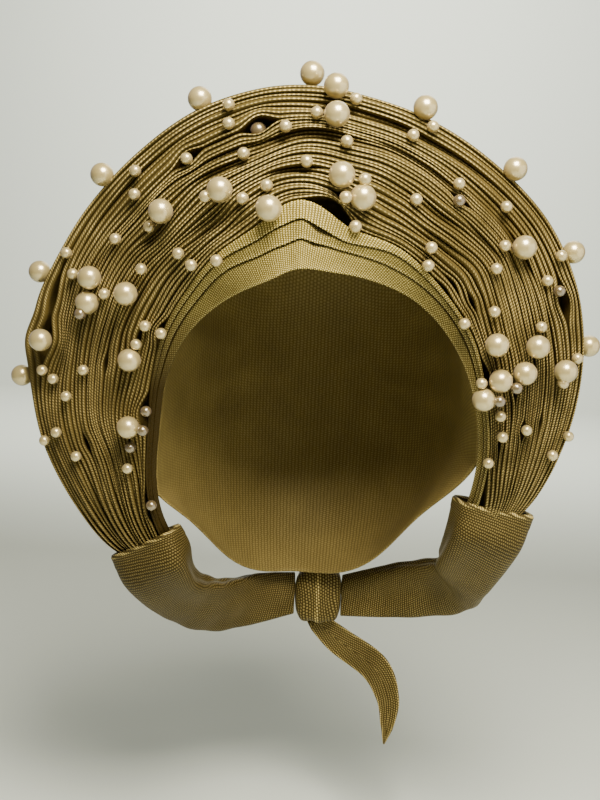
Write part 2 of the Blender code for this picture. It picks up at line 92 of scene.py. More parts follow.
def add_camera():
    """The camera, turned to its target and rolled."""
    back = direction_of(CAMERA_AZIMUTH, CAMERA_ELEVATION)
    right = Vector((0, 0, 1)).cross(back).normalized()
    up = back.cross(right)
    leaning_right = right * math.cos(CAMERA_ROLL) + up * math.sin(CAMERA_ROLL)
    leaning_up = up * math.cos(CAMERA_ROLL) - right * math.sin(CAMERA_ROLL)
    turned = Matrix((leaning_right, leaning_up, back)).transposed().to_4x4()
    turned.translation = CAMERA_TARGET + back * CAMERA_DISTANCE
    bpy.ops.object.camera_add()
    camera = bpy.context.object
    camera.name = "photo_camera"
    camera.matrix_world = turned
    camera.data.sensor_fit = "VERTICAL"
    camera.data.sensor_height = SENSOR_HEIGHT
    camera.data.lens = FOCAL_PIXELS * SENSOR_HEIGHT / IMAGE_HEIGHT
    camera.data.clip_start = 0.01
    bpy.context.scene.camera = camera
    return camera


camera = add_camera()
print("camera at", [round(value, 3) for value in camera.matrix_world.translation])

# %% [markdown]
# Each material is made of nodes. Three small helpers keep that readable: one turns a hex colour into linear
# light, one starts a material with its plain numbers, and one adds a node with its settings and links.

# %% Node helpers


def linear(hex_colour):
    """An sRGB hex colour as linear red, green, blue and alpha."""
    channels = [int(hex_colour[n:n + 2], 16) / 255 for n in (1, 3, 5)]
    return (*(c / 12.92 if c <= 0.04045 else ((c + 0.055) / 1.055) ** 2.4 for c in channels), 1.0)


def start_material(name, values):
    """A new material, its node tree and its shader, with the shader's own values set."""
    made = bpy.data.materials.new(name)
    made.use_nodes = True
    shader = made.node_tree.nodes["Principled BSDF"]
    for socket, value in values.items():
        shader.inputs[socket].default_value = value
    return made, made.node_tree, shader


def add_node(tree, kind, inputs, take=0, **settings):
    """Adds a node and gives back the output to take from it.

    Inputs are values or the sockets that feed them, and settings are the node's own options.
    """
    node = tree.nodes.new("ShaderNode" + kind)
    for name, value in settings.items():
        setattr(node, name, value)
    for name, value in inputs.items():
        if isinstance(value, bpy.types.NodeSocket):
            tree.links.new(value, node.inputs[name])
        else:
            node.inputs[name].default_value = value
    return node.outputs[take]


# %% [markdown]
# The stage is a plain pale floor that bends up into a wall, as in a photo studio. A plane is extruded up at
# its back edge and the corner is bevelled. The head tie is held up as on a head, so the floor lies below it.

# %% Floor and backdrop
FLOOR_DROP = 0.08
STAGE_HALF = 2.6
STAGE_BACK = 0.3 * STAGE_HALF
STAGE_HEIGHT = 3.4
STAGE_BEND = 1.2
NEAR = 0.01


def select_back_edge(stage, floor_height):
    """Selects the floor's back edge and nothing else."""
    bpy.ops.mesh.select_all(action="DESELECT")
    shape = bmesh.from_edit_mesh(stage.data)
    back = max(corner.co.y for corner in shape.verts)
    for edge in shape.edges:
        edge.select_set(all(corner.co.y > back - NEAR and abs(corner.co.z - floor_height) < NEAR
                            for corner in edge.verts))
    bmesh.update_edit_mesh(stage.data)


def add_stage():
    """The floor and the wall that it bends up into."""
    floor_height = CAD_BOX[0].z - FLOOR_DROP
    bpy.ops.mesh.primitive_plane_add(size=2 * STAGE_HALF, location=(0, STAGE_BACK, floor_height))
    stage = bpy.context.object
    stage.name = "studio_floor"
    bpy.ops.object.transform_apply(location=True, rotation=True, scale=True)
    bpy.ops.object.mode_set(mode="EDIT")
    select_back_edge(stage, floor_height)
    bpy.ops.mesh.extrude_region_move(TRANSFORM_OT_translate={"value": (0, 0, STAGE_HEIGHT)})
    select_back_edge(stage, floor_height)
    bpy.ops.mesh.bevel(offset=STAGE_BEND, segments=20, affect="EDGES")
    bpy.ops.object.mode_set(mode="OBJECT")
    bpy.ops.object.shade_smooth()
    paper = {"Base Color": linear("#E6EBD8"), "Roughness": 0.9}
    stage.data.materials.append(start_material("matt_paper_backdrop", paper)[0])
    return stage


stage = add_stage()
print("floor at", round(stage.data.vertices[0].co.z, 3), "m")

# %% [markdown]
# The pearls tell where the light was: each has one soft white spot, above its middle and a touch to the
# right. That is a softbox high in front. A wide light from the right and a pale surround fill the folds, and
# they stay weak so that the valleys between the pleats go dark. A light from behind picks out the top edge,
# and a wash lights the backdrop.

# %% Lights
AreaLight = namedtuple("AreaLight", "name azimuth elevation distance size watts colour")
LIGHTS = [
    AreaLight("key_softbox", 16, 52, 0.52, 0.27, 11.0, "#FFFAF2"),
    AreaLight("right_fill", 70, -4, 0.6, 0.8, 2.8, "#FFFDF4"),
    AreaLight("back_rim", 160, 50, 1.6, 1.0, 4.5, "#FFFFFF"),
]
WASH_PLACE = Vector((0.0, 1.3, 1.6))
WASH_AIM = Vector((0.0, 1.0, -0.25))
WASH_SIZE = 1.6
WASH_WATTS = 125.0
WORLD_STRENGTH = 0.17


def add_area_light(name, place, back, size, watts):
    """A square lamp at a place, which shines away from the direction that lies behind it."""
    bpy.ops.object.light_add(type="AREA", location=place)
    lamp = bpy.context.object
    lamp.name = name
    lamp.rotation_euler = back.to_track_quat("Z", "Y").to_euler()
    lamp.data.size = size
    lamp.data.energy = watts
    return lamp


def add_lights():
    """The lamps round the object, the wash on the backdrop and the pale surround."""
    for light in LIGHTS:
        toward = direction_of(math.radians(light.azimuth), math.radians(light.elevation))
        place = CAMERA_TARGET + toward * light.distance
        lamp = add_area_light(light.name, place, toward, light.size, light.watts)
        lamp.data.color = linear(light.colour)[:3]
    add_area_light("backdrop_wash", WASH_PLACE, -WASH_AIM, WASH_SIZE, WASH_WATTS)
    world = bpy.data.worlds.new("pale_surround")
    world.use_nodes = True
    sky = world.node_tree.nodes["Background"]
    sky.inputs["Color"].default_value = linear("#F3F1F4")
    sky.inputs["Strength"].default_value = WORLD_STRENGTH
    bpy.context.scene.world = world


add_lights()
print("lights:", ", ".join(light.name for light in LIGHTS))

# %% [markdown]
# Now the cloth's measures. They repeat the solids' own: sections round the halo's centre, counted in degrees
# from straight up, with the radius and depth of the face edge and the rim. inner, middle and crest are the
# widths that show of the three plain folds, pleats is how deep the pleats are, and lag how many degrees the
# rim lies further round than the crest. Everything is in millimetres until a mesh is made.

# %% The sections of the halo
HALO_CENTRE_X = -10.0
HALO_CENTRE_Z = -86.0
FRONT_BULGE = 3.0
FOLD_STEP = 2.4

Section = namedtuple("Section", "turn face_radius face_depth rim_radius rim_depth inner middle crest "
                                "pleats lag")
SECTIONS = [Section(*row) for row in (
    (-150, 118, -2, 139, 1, 2.6, 1.4, 1.4, 9, 6.5),
    (-140, 105.5, -12, 141.5, -3, 2.6, 1.4, 1.4, 11, 4),
    (-120, 78.5, -27, 140, -10, 2.6, 1.4, 1.4, 18, 0),
    (-100, 64, -36, 137, -18, 3.2, 1.8, 1.6, 18, 0),
    (-80, 53.5, -46, 132, -28, 5.5, 2.8, 2.2, 18, 0),
    (-60, 45, -59, 122, -40, 8, 3.5, 2.5, 18, 0),
    (-40, 39.5, -74, 118, -52, 11, 4.5, 3, 18, 0),
    (-20, 37.5, -84, 119, -62, 11, 6, 5, 18, 0),
    (0, 40.5, -87.5, 121, -66, 12, 8, 8, 18, 0),
    (20, 42.5, -84, 119, -62, 9.7, 3.8, 6, 18, 0),
    (40, 49, -74, 123, -52, 9, 5.5, 3.3, 18, 0),
    (60, 59.5, -59, 130.5, -40, 7.5, 2.8, 2.2, 18, 0),
    (80, 71, -46, 136, -28, 6, 2, 1.8, 18, 0),
    (100, 84.5, -36, 138.5, -14, 3, 1.4, 1.4, 18, 0),
    (120, 102, -19, 140, -5, 2.6, 1.4, 1.4, 13, -3),
    (132, 114, -6, 137, 0.5, 2.6, 1.4, 1.4, 9, -4.5))]
HALO_START = SECTIONS[0].turn
HALO_END = SECTIONS[-1].turn


def smooth_between(keys, data, value):
    """Cubic curve through the data at its keys, read at a value."""
    value = min(max(value, keys[0]), keys[-1])
    i = next(n for n in range(len(keys) - 1) if value <= keys[n + 1])
    before, after = max(i - 1, 0), min(i + 2, len(keys) - 1)
    span = keys[i + 1] - keys[i]
    slope_in = (data[i + 1] - data[before]) / (keys[i + 1] - keys[before]) * span
    slope_out = (data[after] - data[i]) / (keys[after] - keys[i]) * span
    t = (value - keys[i]) / span
    t2, t3 = t * t, t * t * t
    return ((2 * t3 - 3 * t2 + 1) * data[i] + (t3 - 2 * t2 + t) * slope_in
            + (3 * t2 - 2 * t3) * data[i + 1] + (t3 - t2) * slope_out)


def row_at(rows, key, value):
    """A table's row at a value of its key column, smooth between the rows that are written down."""
    keys = [getattr(row, key) for row in rows]
    kind = type(rows[0])
    return kind(*(smooth_between(keys, [getattr(row, name) for row in rows], value) for name in kind._fields))


def spread(start, end, count):
    """Evenly spaced values, both ends with them."""
    return [start + (end - start) * n / (count - 1) for n in range(count)]


def blend(start, end, share):
    return start + (end - start) * share


def ease(share):
    """A share from 0 to 1 that starts and ends softly."""
    share = min(max(share, 0.0), 1.0)
    return share * share * (3 - 2 * share)


def bell(distance, reach):
    """One at the middle, falling smoothly to zero at its reach."""
    return 0.5 * (1 + math.cos(math.pi * distance / reach)) if abs(distance) < reach else 0.0


def rounded(parts, power):
    """How far a block with rounded corners reaches along a direction. A higher power is squarer."""
    return sum(abs(part) ** power for part in parts) ** (-1 / power)


def wave(turn, count, start):
    """A smooth rise and fall that comes back so many times in a full turn."""
    return math.sin(math.radians(turn) * count + start)


def polar(turn, radius, depth):
    """A point at a turn and radius round the halo's centre, at a depth along Y."""
    angle = math.radians(turn)
    return Vector((HALO_CENTRE_X + radius * math.sin(angle), depth, HALO_CENTRE_Z + radius * math.cos(angle)))


def crest_radius(section):
    """Where the plain folds end and the pleats begin."""
    return section.face_radius + section.inner + section.middle + section.crest


print("halo from", HALO_START, "to", HALO_END, "degrees")

# %% [markdown]
# A pleat isn't a neat ring. It wanders in and out as it goes round, and its neighbours wander with it. So the
# next table follows seven of the valleys between the pleats and the fan's two edges. Each number is how far
# the line lies from the crest of the plain folds to the rim, in percent. The pleats between two lines share
# the room.

# %% How the pleats flow
Flow = namedtuple("Flow", "turn crest v4 v8 v12 v16 v19 v23 v27 rim")
FLOWS = [Flow(*row) for row in (
    (-150, 4, 16, 29, 38, 46, 57, 71, 84, 100),
    (-140, 2, 13, 28, 37, 44, 56, 71, 84, 100),
    (-130, 0, 10, 27, 35, 43, 55.5, 72, 84, 98),
    (-120, 0, 15.5, 29, 37, 44, 55, 73.5, 84.5, 98.5),
    (-110, 0, 17, 32, 41.5, 49.5, 60, 75, 86, 99.5),
    (-100, 0, 13, 29, 39.5, 48.5, 58.5, 71.5, 83.5, 99.5),
    (-90, 0, 11, 27.5, 38, 47, 56.5, 66, 75.5, 101.5),
    (-80, 0, 12, 27.5, 37, 46.5, 56, 66.5, 77.5, 98.5),
    (-70, 0, 12, 26.5, 38, 50, 58, 70, 83.5, 99.5),
    (-60, 0, 12.5, 26, 38.5, 50, 60, 71.5, 86.5, 102),
    (-50, 0, 10.5, 24, 34.5, 45.5, 58.5, 70, 87, 102.5),
    (-40, 0, 9.5, 22, 34.5, 47, 60, 70.5, 88, 103),
    (-30, 0, 10.5, 23, 36.5, 50.5, 59, 72, 89, 103.5),
    (-20, 0, 13.5, 28, 38, 48.5, 58, 70.5, 88.5, 103),
    (-10, 0, 13.5, 27, 37, 46, 55.5, 70, 87.5, 101.5),
    (0, 0, 11, 24, 37.5, 49.5, 59, 69, 84, 100),
    (10, 0, 13, 27, 41.5, 53.5, 63, 72, 86.5, 101),
    (20, 0, 15, 33, 47.5, 60, 68.5, 76, 90, 104),
    (30, 0, 12.5, 31, 45, 59, 67, 75.5, 89.5, 104.5),
    (40, 0, 11.5, 27, 41, 55.5, 62.5, 74, 89.5, 104),
    (50, 0, 13, 29.5, 43, 56, 62.5, 73.5, 89, 103.5),
    (60, 0, 15.5, 33.5, 45.5, 56.5, 62.5, 73.5, 88.5, 103),
    (70, 0, 12, 28, 39.5, 50.5, 58.5, 70, 86, 101.5),
    (80, 0, 8.5, 23.5, 35.5, 47, 55.5, 68, 84, 99),
    (90, 0, 9.5, 24.5, 37, 49, 56, 69, 85, 97.5),
    (100, 0, 11, 26, 37, 48, 56, 69, 84, 97),
    (110, 0, 11, 24, 36, 47, 55.5, 68, 82, 95),
    (118, 0, 13, 27, 39, 49, 57.5, 69, 82, 94),
    (125, 9, 24, 37, 47, 56, 63, 73, 84, 95),
    (132, 24, 37, 48, 57, 65, 71, 80, 89, 98))]
GUIDES = (0, 4, 8, 12, 16, 19, 23, 27, 31)
PLEATS = GUIDES[-1]

# %% [markdown]
# Where a pearl or a slack stretch pushes two pleats apart, a dark pocket opens. A row gives the gap, counted
# from the face, its turn, how many degrees it reaches each way and how wide it opens. The neighbours make
# room, less and less with each pleat. Other pleats sink back a little and get painted shade, and a table
# says which.

# %% Pockets and sunken pleats
Parting = namedtuple("Parting", "gap turn reach opening")
PARTINGS = [Parting(*row) for row in (
    (0, -136, 6, 2), (0, -111, 8, 5), (0, -80, 8, 2.6), (0, 12, 13, 5.5),
    (0, 60, 6, 1.3), (0, 92, 7, 2.5), (2, 60, 6, 1.3), (4, 68, 4.5, 1.7),
    (5, 14, 4, 2.6), (5, -84, 5, 1.4), (4, 110, 3, 1.4), (9, 95, 4, 2.4),
    (11, -93.5, 4.5, 1.5), (13, 105, 3.5, 3.2), (16, 87.5, 4, 1.4), (19, -114, 4, 2.2),
    (18, 42.5, 4, 2.6), (20, 102, 3, 1), (23, -30.5, 5.5, 5.2), (23, -21, 9, 1),
    (23, -11.3, 5.8, 7.8), (27, 74.5, 6, 5), (29, -88, 6.5, 7.6), (29, -78.5, 8, 3.4))]
MAKE_ROOM = 4
FIRST_VALLEY = 0.35

Sunken = namedtuple("Sunken", "first last turn reach depth")
SUNKEN = [Sunken(*row) for row in (
    (25, 26, 20, 55, 4.5), (26, 26, -55, 32, 2.6), (16, 18, 0, 26, 5), (17, 19, 28, 24, 3.6),
    (14, 15, -48, 10, 4.5), (15, 16, -22, 14, 3.2), (19, 19, -16, 20, 3), (7, 8, -2, 12, 3.2),
    (6, 8, -34, 18, 3.4), (7, 9, -74, 16, 2.6), (0, 2, -25, 14, 2.2), (3, 5, -28, 12, 2.6),
    (21, 23, 48, 22, 2.4), (24, 25, -96, 12, 2.2), (3, 7, 97, 10, 3), (20, 21, 62, 12, 3.4),
    (16, 17, 62, 8, 2.8), (12, 14, -118, 14, 1.6), (21, 22, -74, 10, 2), (10, 11, 40, 16, 3),
    (13, 13, 54, 12, 2.8), (5, 6, 48, 14, 2.6), (22, 22, 84, 16, 2.4), (10, 11, -86, 14, 2.2))]
PLEAT_WANDER = 0.22
RIDGE_LEAN = 0.8
GATHER_TURNS = (-118.0, 108.0)
GATHER_REACH = 22.0
GATHER_SHARES = (0.3, 0.8)
GATHER_SINK = 2.6


def gathered(turn):
    """How far the pleats are gathered at a turn, from 0 on the open fan to 1 inside the side wraps."""
    beyond = max(GATHER_TURNS[0] - turn, turn - GATHER_TURNS[1])
    return ease(beyond / GATHER_REACH)


def valleys_at(turn):
    """The section at a turn and the inner and outer radius of every pleat there."""
    section = row_at(SECTIONS, "turn", turn)
    flow = row_at(FLOWS, "turn", turn)
    start = crest_radius(section) + FIRST_VALLEY
    length = section.rim_radius - start
    lines = [start + length * smooth_between(GUIDES, flow[1:], n) / 100 for n in range(PLEATS + 1)]
    for n in range(1, PLEATS):
        room = min(lines[n] - lines[n - 1], lines[n + 1] - lines[n])
        lines[n] += PLEAT_WANDER * room * wave(turn, 3 + n * 5 % 4, 2.1 * n)
    for n in range(1, PLEATS, 2):
        lines[n] += GATHER_SHARES[turn > 0] * gathered(turn) * (lines[n + 1] - lines[n])
    inner, outer = lines[:-1], lines[1:]
    for parting in PARTINGS:
        half = 0.5 * parting.opening * bell(turn - parting.turn, parting.reach)
        if parting.gap == 0:
            half *= 2
        for n in range(MAKE_ROOM if half else 0):
            push = half * (1 - n / MAKE_ROOM)
            beyond, within = parting.gap + n, parting.gap - 1 - n
            if beyond < PLEATS:
                inner[beyond] += push
                outer[beyond] += push * (MAKE_ROOM - n - 1) / (MAKE_ROOM - n)
            if within >= 0:
                outer[within] -= push
                inner[within] -= push * (MAKE_ROOM - n - 1) / (MAKE_ROOM - n)
    return section, inner, outer


def front_depth(section, radius):
    """Depth of the halo's front at a radius: it leans back to the rim and swells a little between."""
    start = crest_radius(section)
    share = (radius - start) / (section.rim_radius - start)
    lean = blend(section.face_depth - 2 * FOLD_STEP, section.rim_depth, share)
    return lean - FRONT_BULGE * math.sin(math.pi * min(max(share, 0.0), 1.0))


def ridge_depth(section, pleat, radius):
    """Depth of one pleat's ridge, which leans in and out and may be sunken."""
    turn = section.turn
    lean = RIDGE_LEAN * wave(turn, 3 + pleat * 3 % 5, 1.9 * pleat)
    sunk = sum(row.depth * bell(turn - row.turn, row.reach) for row in SUNKEN
               if row.first <= pleat <= row.last)
    sunk += GATHER_SINK * gathered(turn) * (pleat % 2)
    return front_depth(section, radius) + lean + sunk


print("pleats:", PLEATS, " pockets:", len(PARTINGS), " sunken runs:", len(SUNKEN))

# %% [markdown]
# The weave shows as ribs, each a row of bead-like stitches. Seen from the front they cross each ridge about
# 2 mm apart at the top, where the cloth is stretched, and 1.4 mm apart at the sides. The UV map carries that:
# U counts ribs along the pleat and V is the distance in millimetres from the ridge. At the sides the cloth is
# bunched: the stitches slant, so V also shifts U, and their rows lie closer. There the painted highlight on a
# ridge fades less, and painted shade darkens the cloth. A number kept on each point tells the material how
# far the bunching has gone, which also widens the painted highlight.

# %% Rib spacing
Change = namedtuple("Change", "top side start over")
RIB_SPACING = Change(2.05, 1.4, 21.0, 42.0)
RIB_SLANT = Change(0.0, 0.62, 25.0, 30.0)
LIGHT_FADE = Change(1.0, 0.3, 40.0, 30.0)
ROW_DENSITY = Change(1.0, 2.2, 62.0, 35.0)
SIDE_SHADE = Change(0.0, 0.28, 30.0, 50.0)
GATHERED_FADE = 0.3
LEFT_SHADE = 0.3
LEFT_SHADE_START = 60.0
# Painted shade over the pleats up to the right of the top.
RIGHT_SHADE = 0.45
RIGHT_SHADE_TURN = 50.0
RIGHT_SHADE_REACH = 38.0
RIB_BAND = 1.05


def at_turn(change, turn):
    """A measure of the weave at a turn, between what it is at the top and what it is at the sides."""
    return blend(change.top, change.side, ease((abs(turn) - change.start) / change.over))


def light_reach(turn):
    """How fast the painted highlight on a ridge fades: 1 at the top, less at the sides, where whole pleats
    get it.
    """
    return at_turn(LIGHT_FADE, turn) * (1 - GATHERED_FADE * gathered(turn))


def side_shade(turn):
    """How much painted shade darkens the cloth away from the top, and most of all at the left."""
    return at_turn(SIDE_SHADE, turn) + LEFT_SHADE * ease((-LEFT_SHADE_START - turn) / LEFT_SHADE_START)


print("ribs per pleat and cm, at the top and the side:", [round(10 / rib, 1) for rib in RIB_SPACING[:2]])

# %% [markdown]
# Every piece of cloth is made the same way. Rows of points are joined into a sheet, which gets its place in
# the weave, its painted shade and a wall. Then it hangs on the root, and the solid it takes the place of is
# hidden. A simulation could drape the cloth too, but rows keep each fold where the photograph shows it, the
# same every time.

# %% Sheets of cloth
MERGE = 0.002


def start_cloth(name, rows, points, stitch_map, finish):
    """A sheet of no thickness from rows of points in millimetres, with each point's place in the weave.

    The rows run so that the front of the cloth is the outer side.
    """
    count = len(points) // rows
    faces = [(row * count + n, (row + 1) * count + n, (row + 1) * count + n + 1, row * count + n + 1)
             for row in range(rows - 1) for n in range(count - 1)]
    mesh = bpy.data.meshes.new(name)
    mesh.from_pydata([point * MM for point in points], [], faces)
    layer = mesh.uv_layers.new(name="stitches")
    for loop in mesh.loops:
        layer.data[loop.index].uv = stitch_map[loop.vertex_index]
    mesh.materials.append(finish)
    piece = bpy.data.objects.new(name, mesh)
    bpy.context.scene.collection.objects.link(piece)
    return piece


def keep_numbers(mesh, name, numbers):
    """Keeps a number for every point, which the material reads by its name."""
    kept = mesh.attributes.new(name, "FLOAT", "POINT")
    for n, number in enumerate(numbers):
        kept.data[n].value = number


def merge_points(mesh, distance, closed=False):
    """Merges points that lie together. A closed piece also loses its slivers, and its faces turn outwards."""
    shape = bmesh.new()
    shape.from_mesh(mesh)
    bmesh.ops.remove_doubles(shape, verts=shape.verts, dist=distance * MM)
    if closed:
        bmesh.ops.dissolve_degenerate(shape, edges=shape.edges, dist=0.1 * distance * MM)
        bmesh.ops.recalc_face_normals(shape, faces=shape.faces)
    shape.to_mesh(mesh)
    shape.free()
    mesh.shade_smooth()


def hand_over(piece, node):
    """Hangs a piece of cloth on the root, hides the solid it takes the place of and prints its triangles."""
    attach(piece, "root")
    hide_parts(node)
    print(piece.name, "triangles:", 2 * len(piece.data.polygons))
    return piece


def add_cloth(name, node, rows, points, stitch_map, shades, wall, finish, slack_and_highlight_spread=()):
    """A sheet of cloth with a painted shade for every point and a wall, made real."""
    piece = start_cloth(name, rows, points, stitch_map, finish)
    keep_numbers(piece.data, "shade", [min(max(shade, 0.0), 1.0) for shade in shades])
    if slack_and_highlight_spread:
        keep_numbers(piece.data, "slack_and_highlight_spread", slack_and_highlight_spread)
    merge_points(piece.data, MERGE)
    thickness = piece.modifiers.new("wall", "SOLIDIFY")
    thickness.thickness = wall * MM
    thickness.offset = -1
    thickness.use_even_offset = False
    bpy.context.view_layer.objects.active = piece
    piece.select_set(True)
    bpy.ops.object.modifier_apply(modifier=thickness.name)
    piece.select_set(False)
    return hand_over(piece, node)


# %% [markdown]
# The cloth is a stiff weave of matt straw-like yarn with a dull gold lustre. One material serves every piece,
# with other measures each time: the ribs and rows of the weave, a painted highlight on the edge where a fold
# or hem catches the light, the dark between stitches and painted shade kept on each point. Colour and bump
# both come from the same stitch pattern. Nodes draw it and not an image, so that it stays sharp and follows
# every fold by the cloth's own U and V.

# %% Woven cloth material
# rib_across and row_across give ribs and stitches counted per unit of U and V. offset is how far the next
# rib's stitches lie beyond it. fill widens the ribs, and rib_low and row_low are the light left between them.
# edge_mm is how far the painted highlight on an edge reaches, field how much of it the rest of the cloth
# keeps, and rubbed how much of it is left in random weaker patches. gap and mid are the colours
# between the stitches and on them, and high is the painted highlight where they catch the light. deep is the
# colour of full painted shade, and relief the stitches' height in mm.
Weave = namedtuple("Weave", "name rib_across row_across row_low rib_low offset fill edge_mm field rubbed gap "
                            "mid high deep relief")


def woven_cloth(weave):
    """The cloth's material, with its stitches in the measures of one weave."""
    made, tree, shader = start_material(weave.name, {
        "Roughness": 0.5, "Specular IOR Level": 0.14, "Specular Tint": linear("#F3E6B4"),
        "Sheen Weight": 0.02, "Sheen Roughness": 0.4, "Sheen Tint": linear("#C9B26A")})
    place = add_node(tree, "UVMap", {}, uv_map="stitches")
    where = add_node(tree, "TexCoord", {}, "Object")
    from_ridge = add_node(tree, "SeparateXYZ", {"Vector": place}, "Y")
    shade = add_node(tree, "Attribute", {}, "Fac", attribute_name="shade")
    slack_and_highlight_spread = add_node(tree, "Attribute", {}, "Fac", attribute_name="slack_and_highlight_spread")
    taut = add_node(tree, "Math", {0: 1.0, 1: slack_and_highlight_spread}, operation="SUBTRACT")

    # The ribs stray a little. Each row of stitches is shifted against the next rib's.
    wobble = add_node(tree, "TexNoise", {"Vector": where, "Scale": 420.0, "Detail": 2.0})
    stray = add_node(tree, "Math", {0: wobble, 1: 0.6, 2: -0.3}, operation="MULTIPLY_ADD")
    ribs = add_node(tree, "VectorMath", {0: place, 1: (*weave.rib_across, 0.0)}, "Value",
                    operation="DOT_PRODUCT")
    along = add_node(tree, "Math", {0: ribs, 1: stray}, operation="ADD")
    rib_angle = add_node(tree, "Math", {0: along, 1: 2 * math.pi}, operation="MULTIPLY")
    rib = add_node(tree, "Math", {0: rib_angle}, operation="COSINE")
    nearest = add_node(tree, "Math", {0: along, 1: 0.5}, operation="ADD")
    rib_number = add_node(tree, "Math", {0: nearest}, operation="FLOOR")
    rows = add_node(tree, "VectorMath", {0: place, 1: (*weave.row_across, 0.0)}, "Value",
                    operation="DOT_PRODUCT")
    shifted = add_node(tree, "Math", {0: rib_number, 1: weave.offset, 2: rows}, operation="MULTIPLY_ADD")
    row_angle = add_node(tree, "Math", {0: shifted, 1: 2 * math.pi}, operation="MULTIPLY")
    row = add_node(tree, "Math", {0: row_angle}, operation="COSINE")
    rib_start = add_node(tree, "Math", {0: taut, 1: -weave.fill}, operation="MULTIPLY")
    rib_gap = add_node(tree, "Math", {0: taut, 1: weave.rib_low}, operation="MULTIPLY")
    rib_round = add_node(tree, "MapRange", {"Value": rib, "From Min": rib_start, "From Max": 0.6,
                                            "To Min": rib_gap}, interpolation_type="SMOOTHSTEP")
    row_round = add_node(tree, "MapRange", {"Value": row, "From Min": -0.9, "From Max": 0.4,
                                            "To Min": weave.row_low}, interpolation_type="SMOOTHSTEP")
    stitch = add_node(tree, "Math", {0: rib_round, 1: row_round}, operation="MULTIPLY")

    # The painted highlight on an edge or ridge fades with the distance from it, reaches further where the
    # cloth is bunched, and is weaker in random patches.
    scaled = add_node(tree, "Math", {0: from_ridge, 1: taut}, operation="MULTIPLY")
    distance = add_node(tree, "Math", {0: scaled}, operation="ABSOLUTE")
    edge = add_node(tree, "MapRange", {"Value": distance, "From Min": weave.edge_mm,
                                       "From Max": 0.3 * weave.edge_mm, "To Min": weave.field},
                    interpolation_type="SMOOTHSTEP")
    patch = add_node(tree, "TexNoise", {"Vector": where, "Scale": 60.0, "Detail": 2.0})
    rubbed = add_node(tree, "MapRange", {"Value": patch, "From Min": 0.38, "From Max": 0.6,
                                         "To Min": weave.rubbed})
    lit_edge = add_node(tree, "Math", {0: edge, 1: rubbed}, operation="MULTIPLY")
    bright = add_node(tree, "Math", {0: stitch, 1: lit_edge}, operation="MULTIPLY")

    # Three colours follow the stitches, then come the painted shade kept on each point and a faint uneven
    # ageing.
    thread = add_node(tree, "Mix", {"Factor": stitch, 6: linear(weave.gap), 7: linear(weave.mid)}, 2,
                      data_type="RGBA")
    colour = add_node(tree, "Mix", {"Factor": bright, 6: thread, 7: linear(weave.high)}, 2, data_type="RGBA")
    shaded = add_node(tree, "Mix", {"Factor": shade, 6: colour, 7: linear(weave.deep)}, 2, data_type="RGBA")
    stain = add_node(tree, "TexNoise", {"Vector": where, "Scale": 38.0, "Detail": 3.0})
    aged = add_node(tree, "MapRange", {"Value": stain, "From Min": 0.3, "From Max": 0.7, "To Min": 0.86,
                                       "To Max": 1.06})
    worn = add_node(tree, "HueSaturation", {"Color": shaded, "Value": aged})
    relief = add_node(tree, "Bump", {"Height": stitch, "Distance": weave.relief * MM, "Strength": 0.9})
    tree.links.new(worn, shader.inputs["Base Color"])
    tree.links.new(relief, shader.inputs["Normal"])
    return made


PLEAT_CLOTH = woven_cloth(Weave("woven_straw_cloth_pleats", (1, 0), (0, 1 / 2.4), 0.42, 0.3, 0.0, 0.38,
                                0.32, 0.0, 0.42, "#42391B", "#544923", "#E2C67A", "#54451F", 0.18))
BAND_CLOTH = woven_cloth(Weave("woven_straw_cloth_band", (1, 0), (0, 1 / 0.9), 0.0, 0.0, 0.5, 0.6, 1.5,
                               0.46, 0.85, "#66571F", "#AE984D", "#FAE596", "#2C2108", 0.14))
SLEEVE_CLOTH = woven_cloth(Weave("woven_straw_cloth_sleeve", (0.1, 1 / 1.35), (0.8, 0), 0.1, 0.1, 0.4, 0.5,
                                 1.6, 0.32, 0.8, "#251B04", "#3A2D0B", "#CDB56C", "#1E1402", 0.16))
PLAIN_CLOTH = woven_cloth(Weave("woven_straw_cloth_inner", (1, 0), (0, 1 / 1.5), 0.3, 0.3, 0.5, 0.8, 0.6,
                                0.2, 0.8, "#5A4C25", "#796836", "#BBA76C", "#1E1402", 0.05))
print("cloth materials:", [cloth.name for cloth in (PLEAT_CLOTH, BAND_CLOTH, SLEEVE_CLOTH, PLAIN_CLOTH)])

# %% [markdown]
# The pleats are one long zigzag of cloth. Cut across, each pleat is a narrow U on its head: a wall comes up
# from the valley, turns over in a round ridge and goes down again. Joining that outline from section to
# section gives the sheet. Separate folds would be simpler, but the real cloth runs on from one pleat to the
# next. It is cut at two valleys into three pieces, to keep each mesh a reasonable size.

# %% Pleated halo
STATIONS = 330
PLEAT_WALL = 0.4
VALLEY_HALF = 0.09
VALLEY_VARIES = 0.08
BUNCH_GAP = 0.32
BUNCH_START = 0.3
STRETCHED_TURN = 15.0
RIDGE_ANGLES = (-90, -52, -18, 18, 52, 90)
NARROWEST_HALF = 0.12
HIGHEST_RISE = 1.6
UPPER_WALL = 2.4
VALLEY_SHARE = 0.9
SEAM_SHARE = 0.6
DEEP_ROW = -20.0
LIT_HALF = 0.3
SHADE_REACH = 1.5
SUNKEN_SHADE = 0.13
GATHERED_LIGHT = 0.8
SEAM_TURN_IN = 2.0
PLEAT_PIECES = (("pleats_inner", 0, 10), ("pleats_middle", 10, 20), ("pleats_outer", 20, PLEATS))


def valley_half(turn, valley):
    """Half the width of a valley: here it is pressed shut, there it gapes."""
    gape = VALLEY_VARIES * wave(turn, 2 + valley * 3 % 5, 2.7 * valley)
    bunch = max(wave(turn, 1 + valley * 2 % 3, 2.1 * valley) - BUNCH_START, 0.0)
    return VALLEY_HALF + gape + BUNCH_GAP * bunch * ease((abs(turn) - STRETCHED_TURN) / (2 * STRETCHED_TURN))


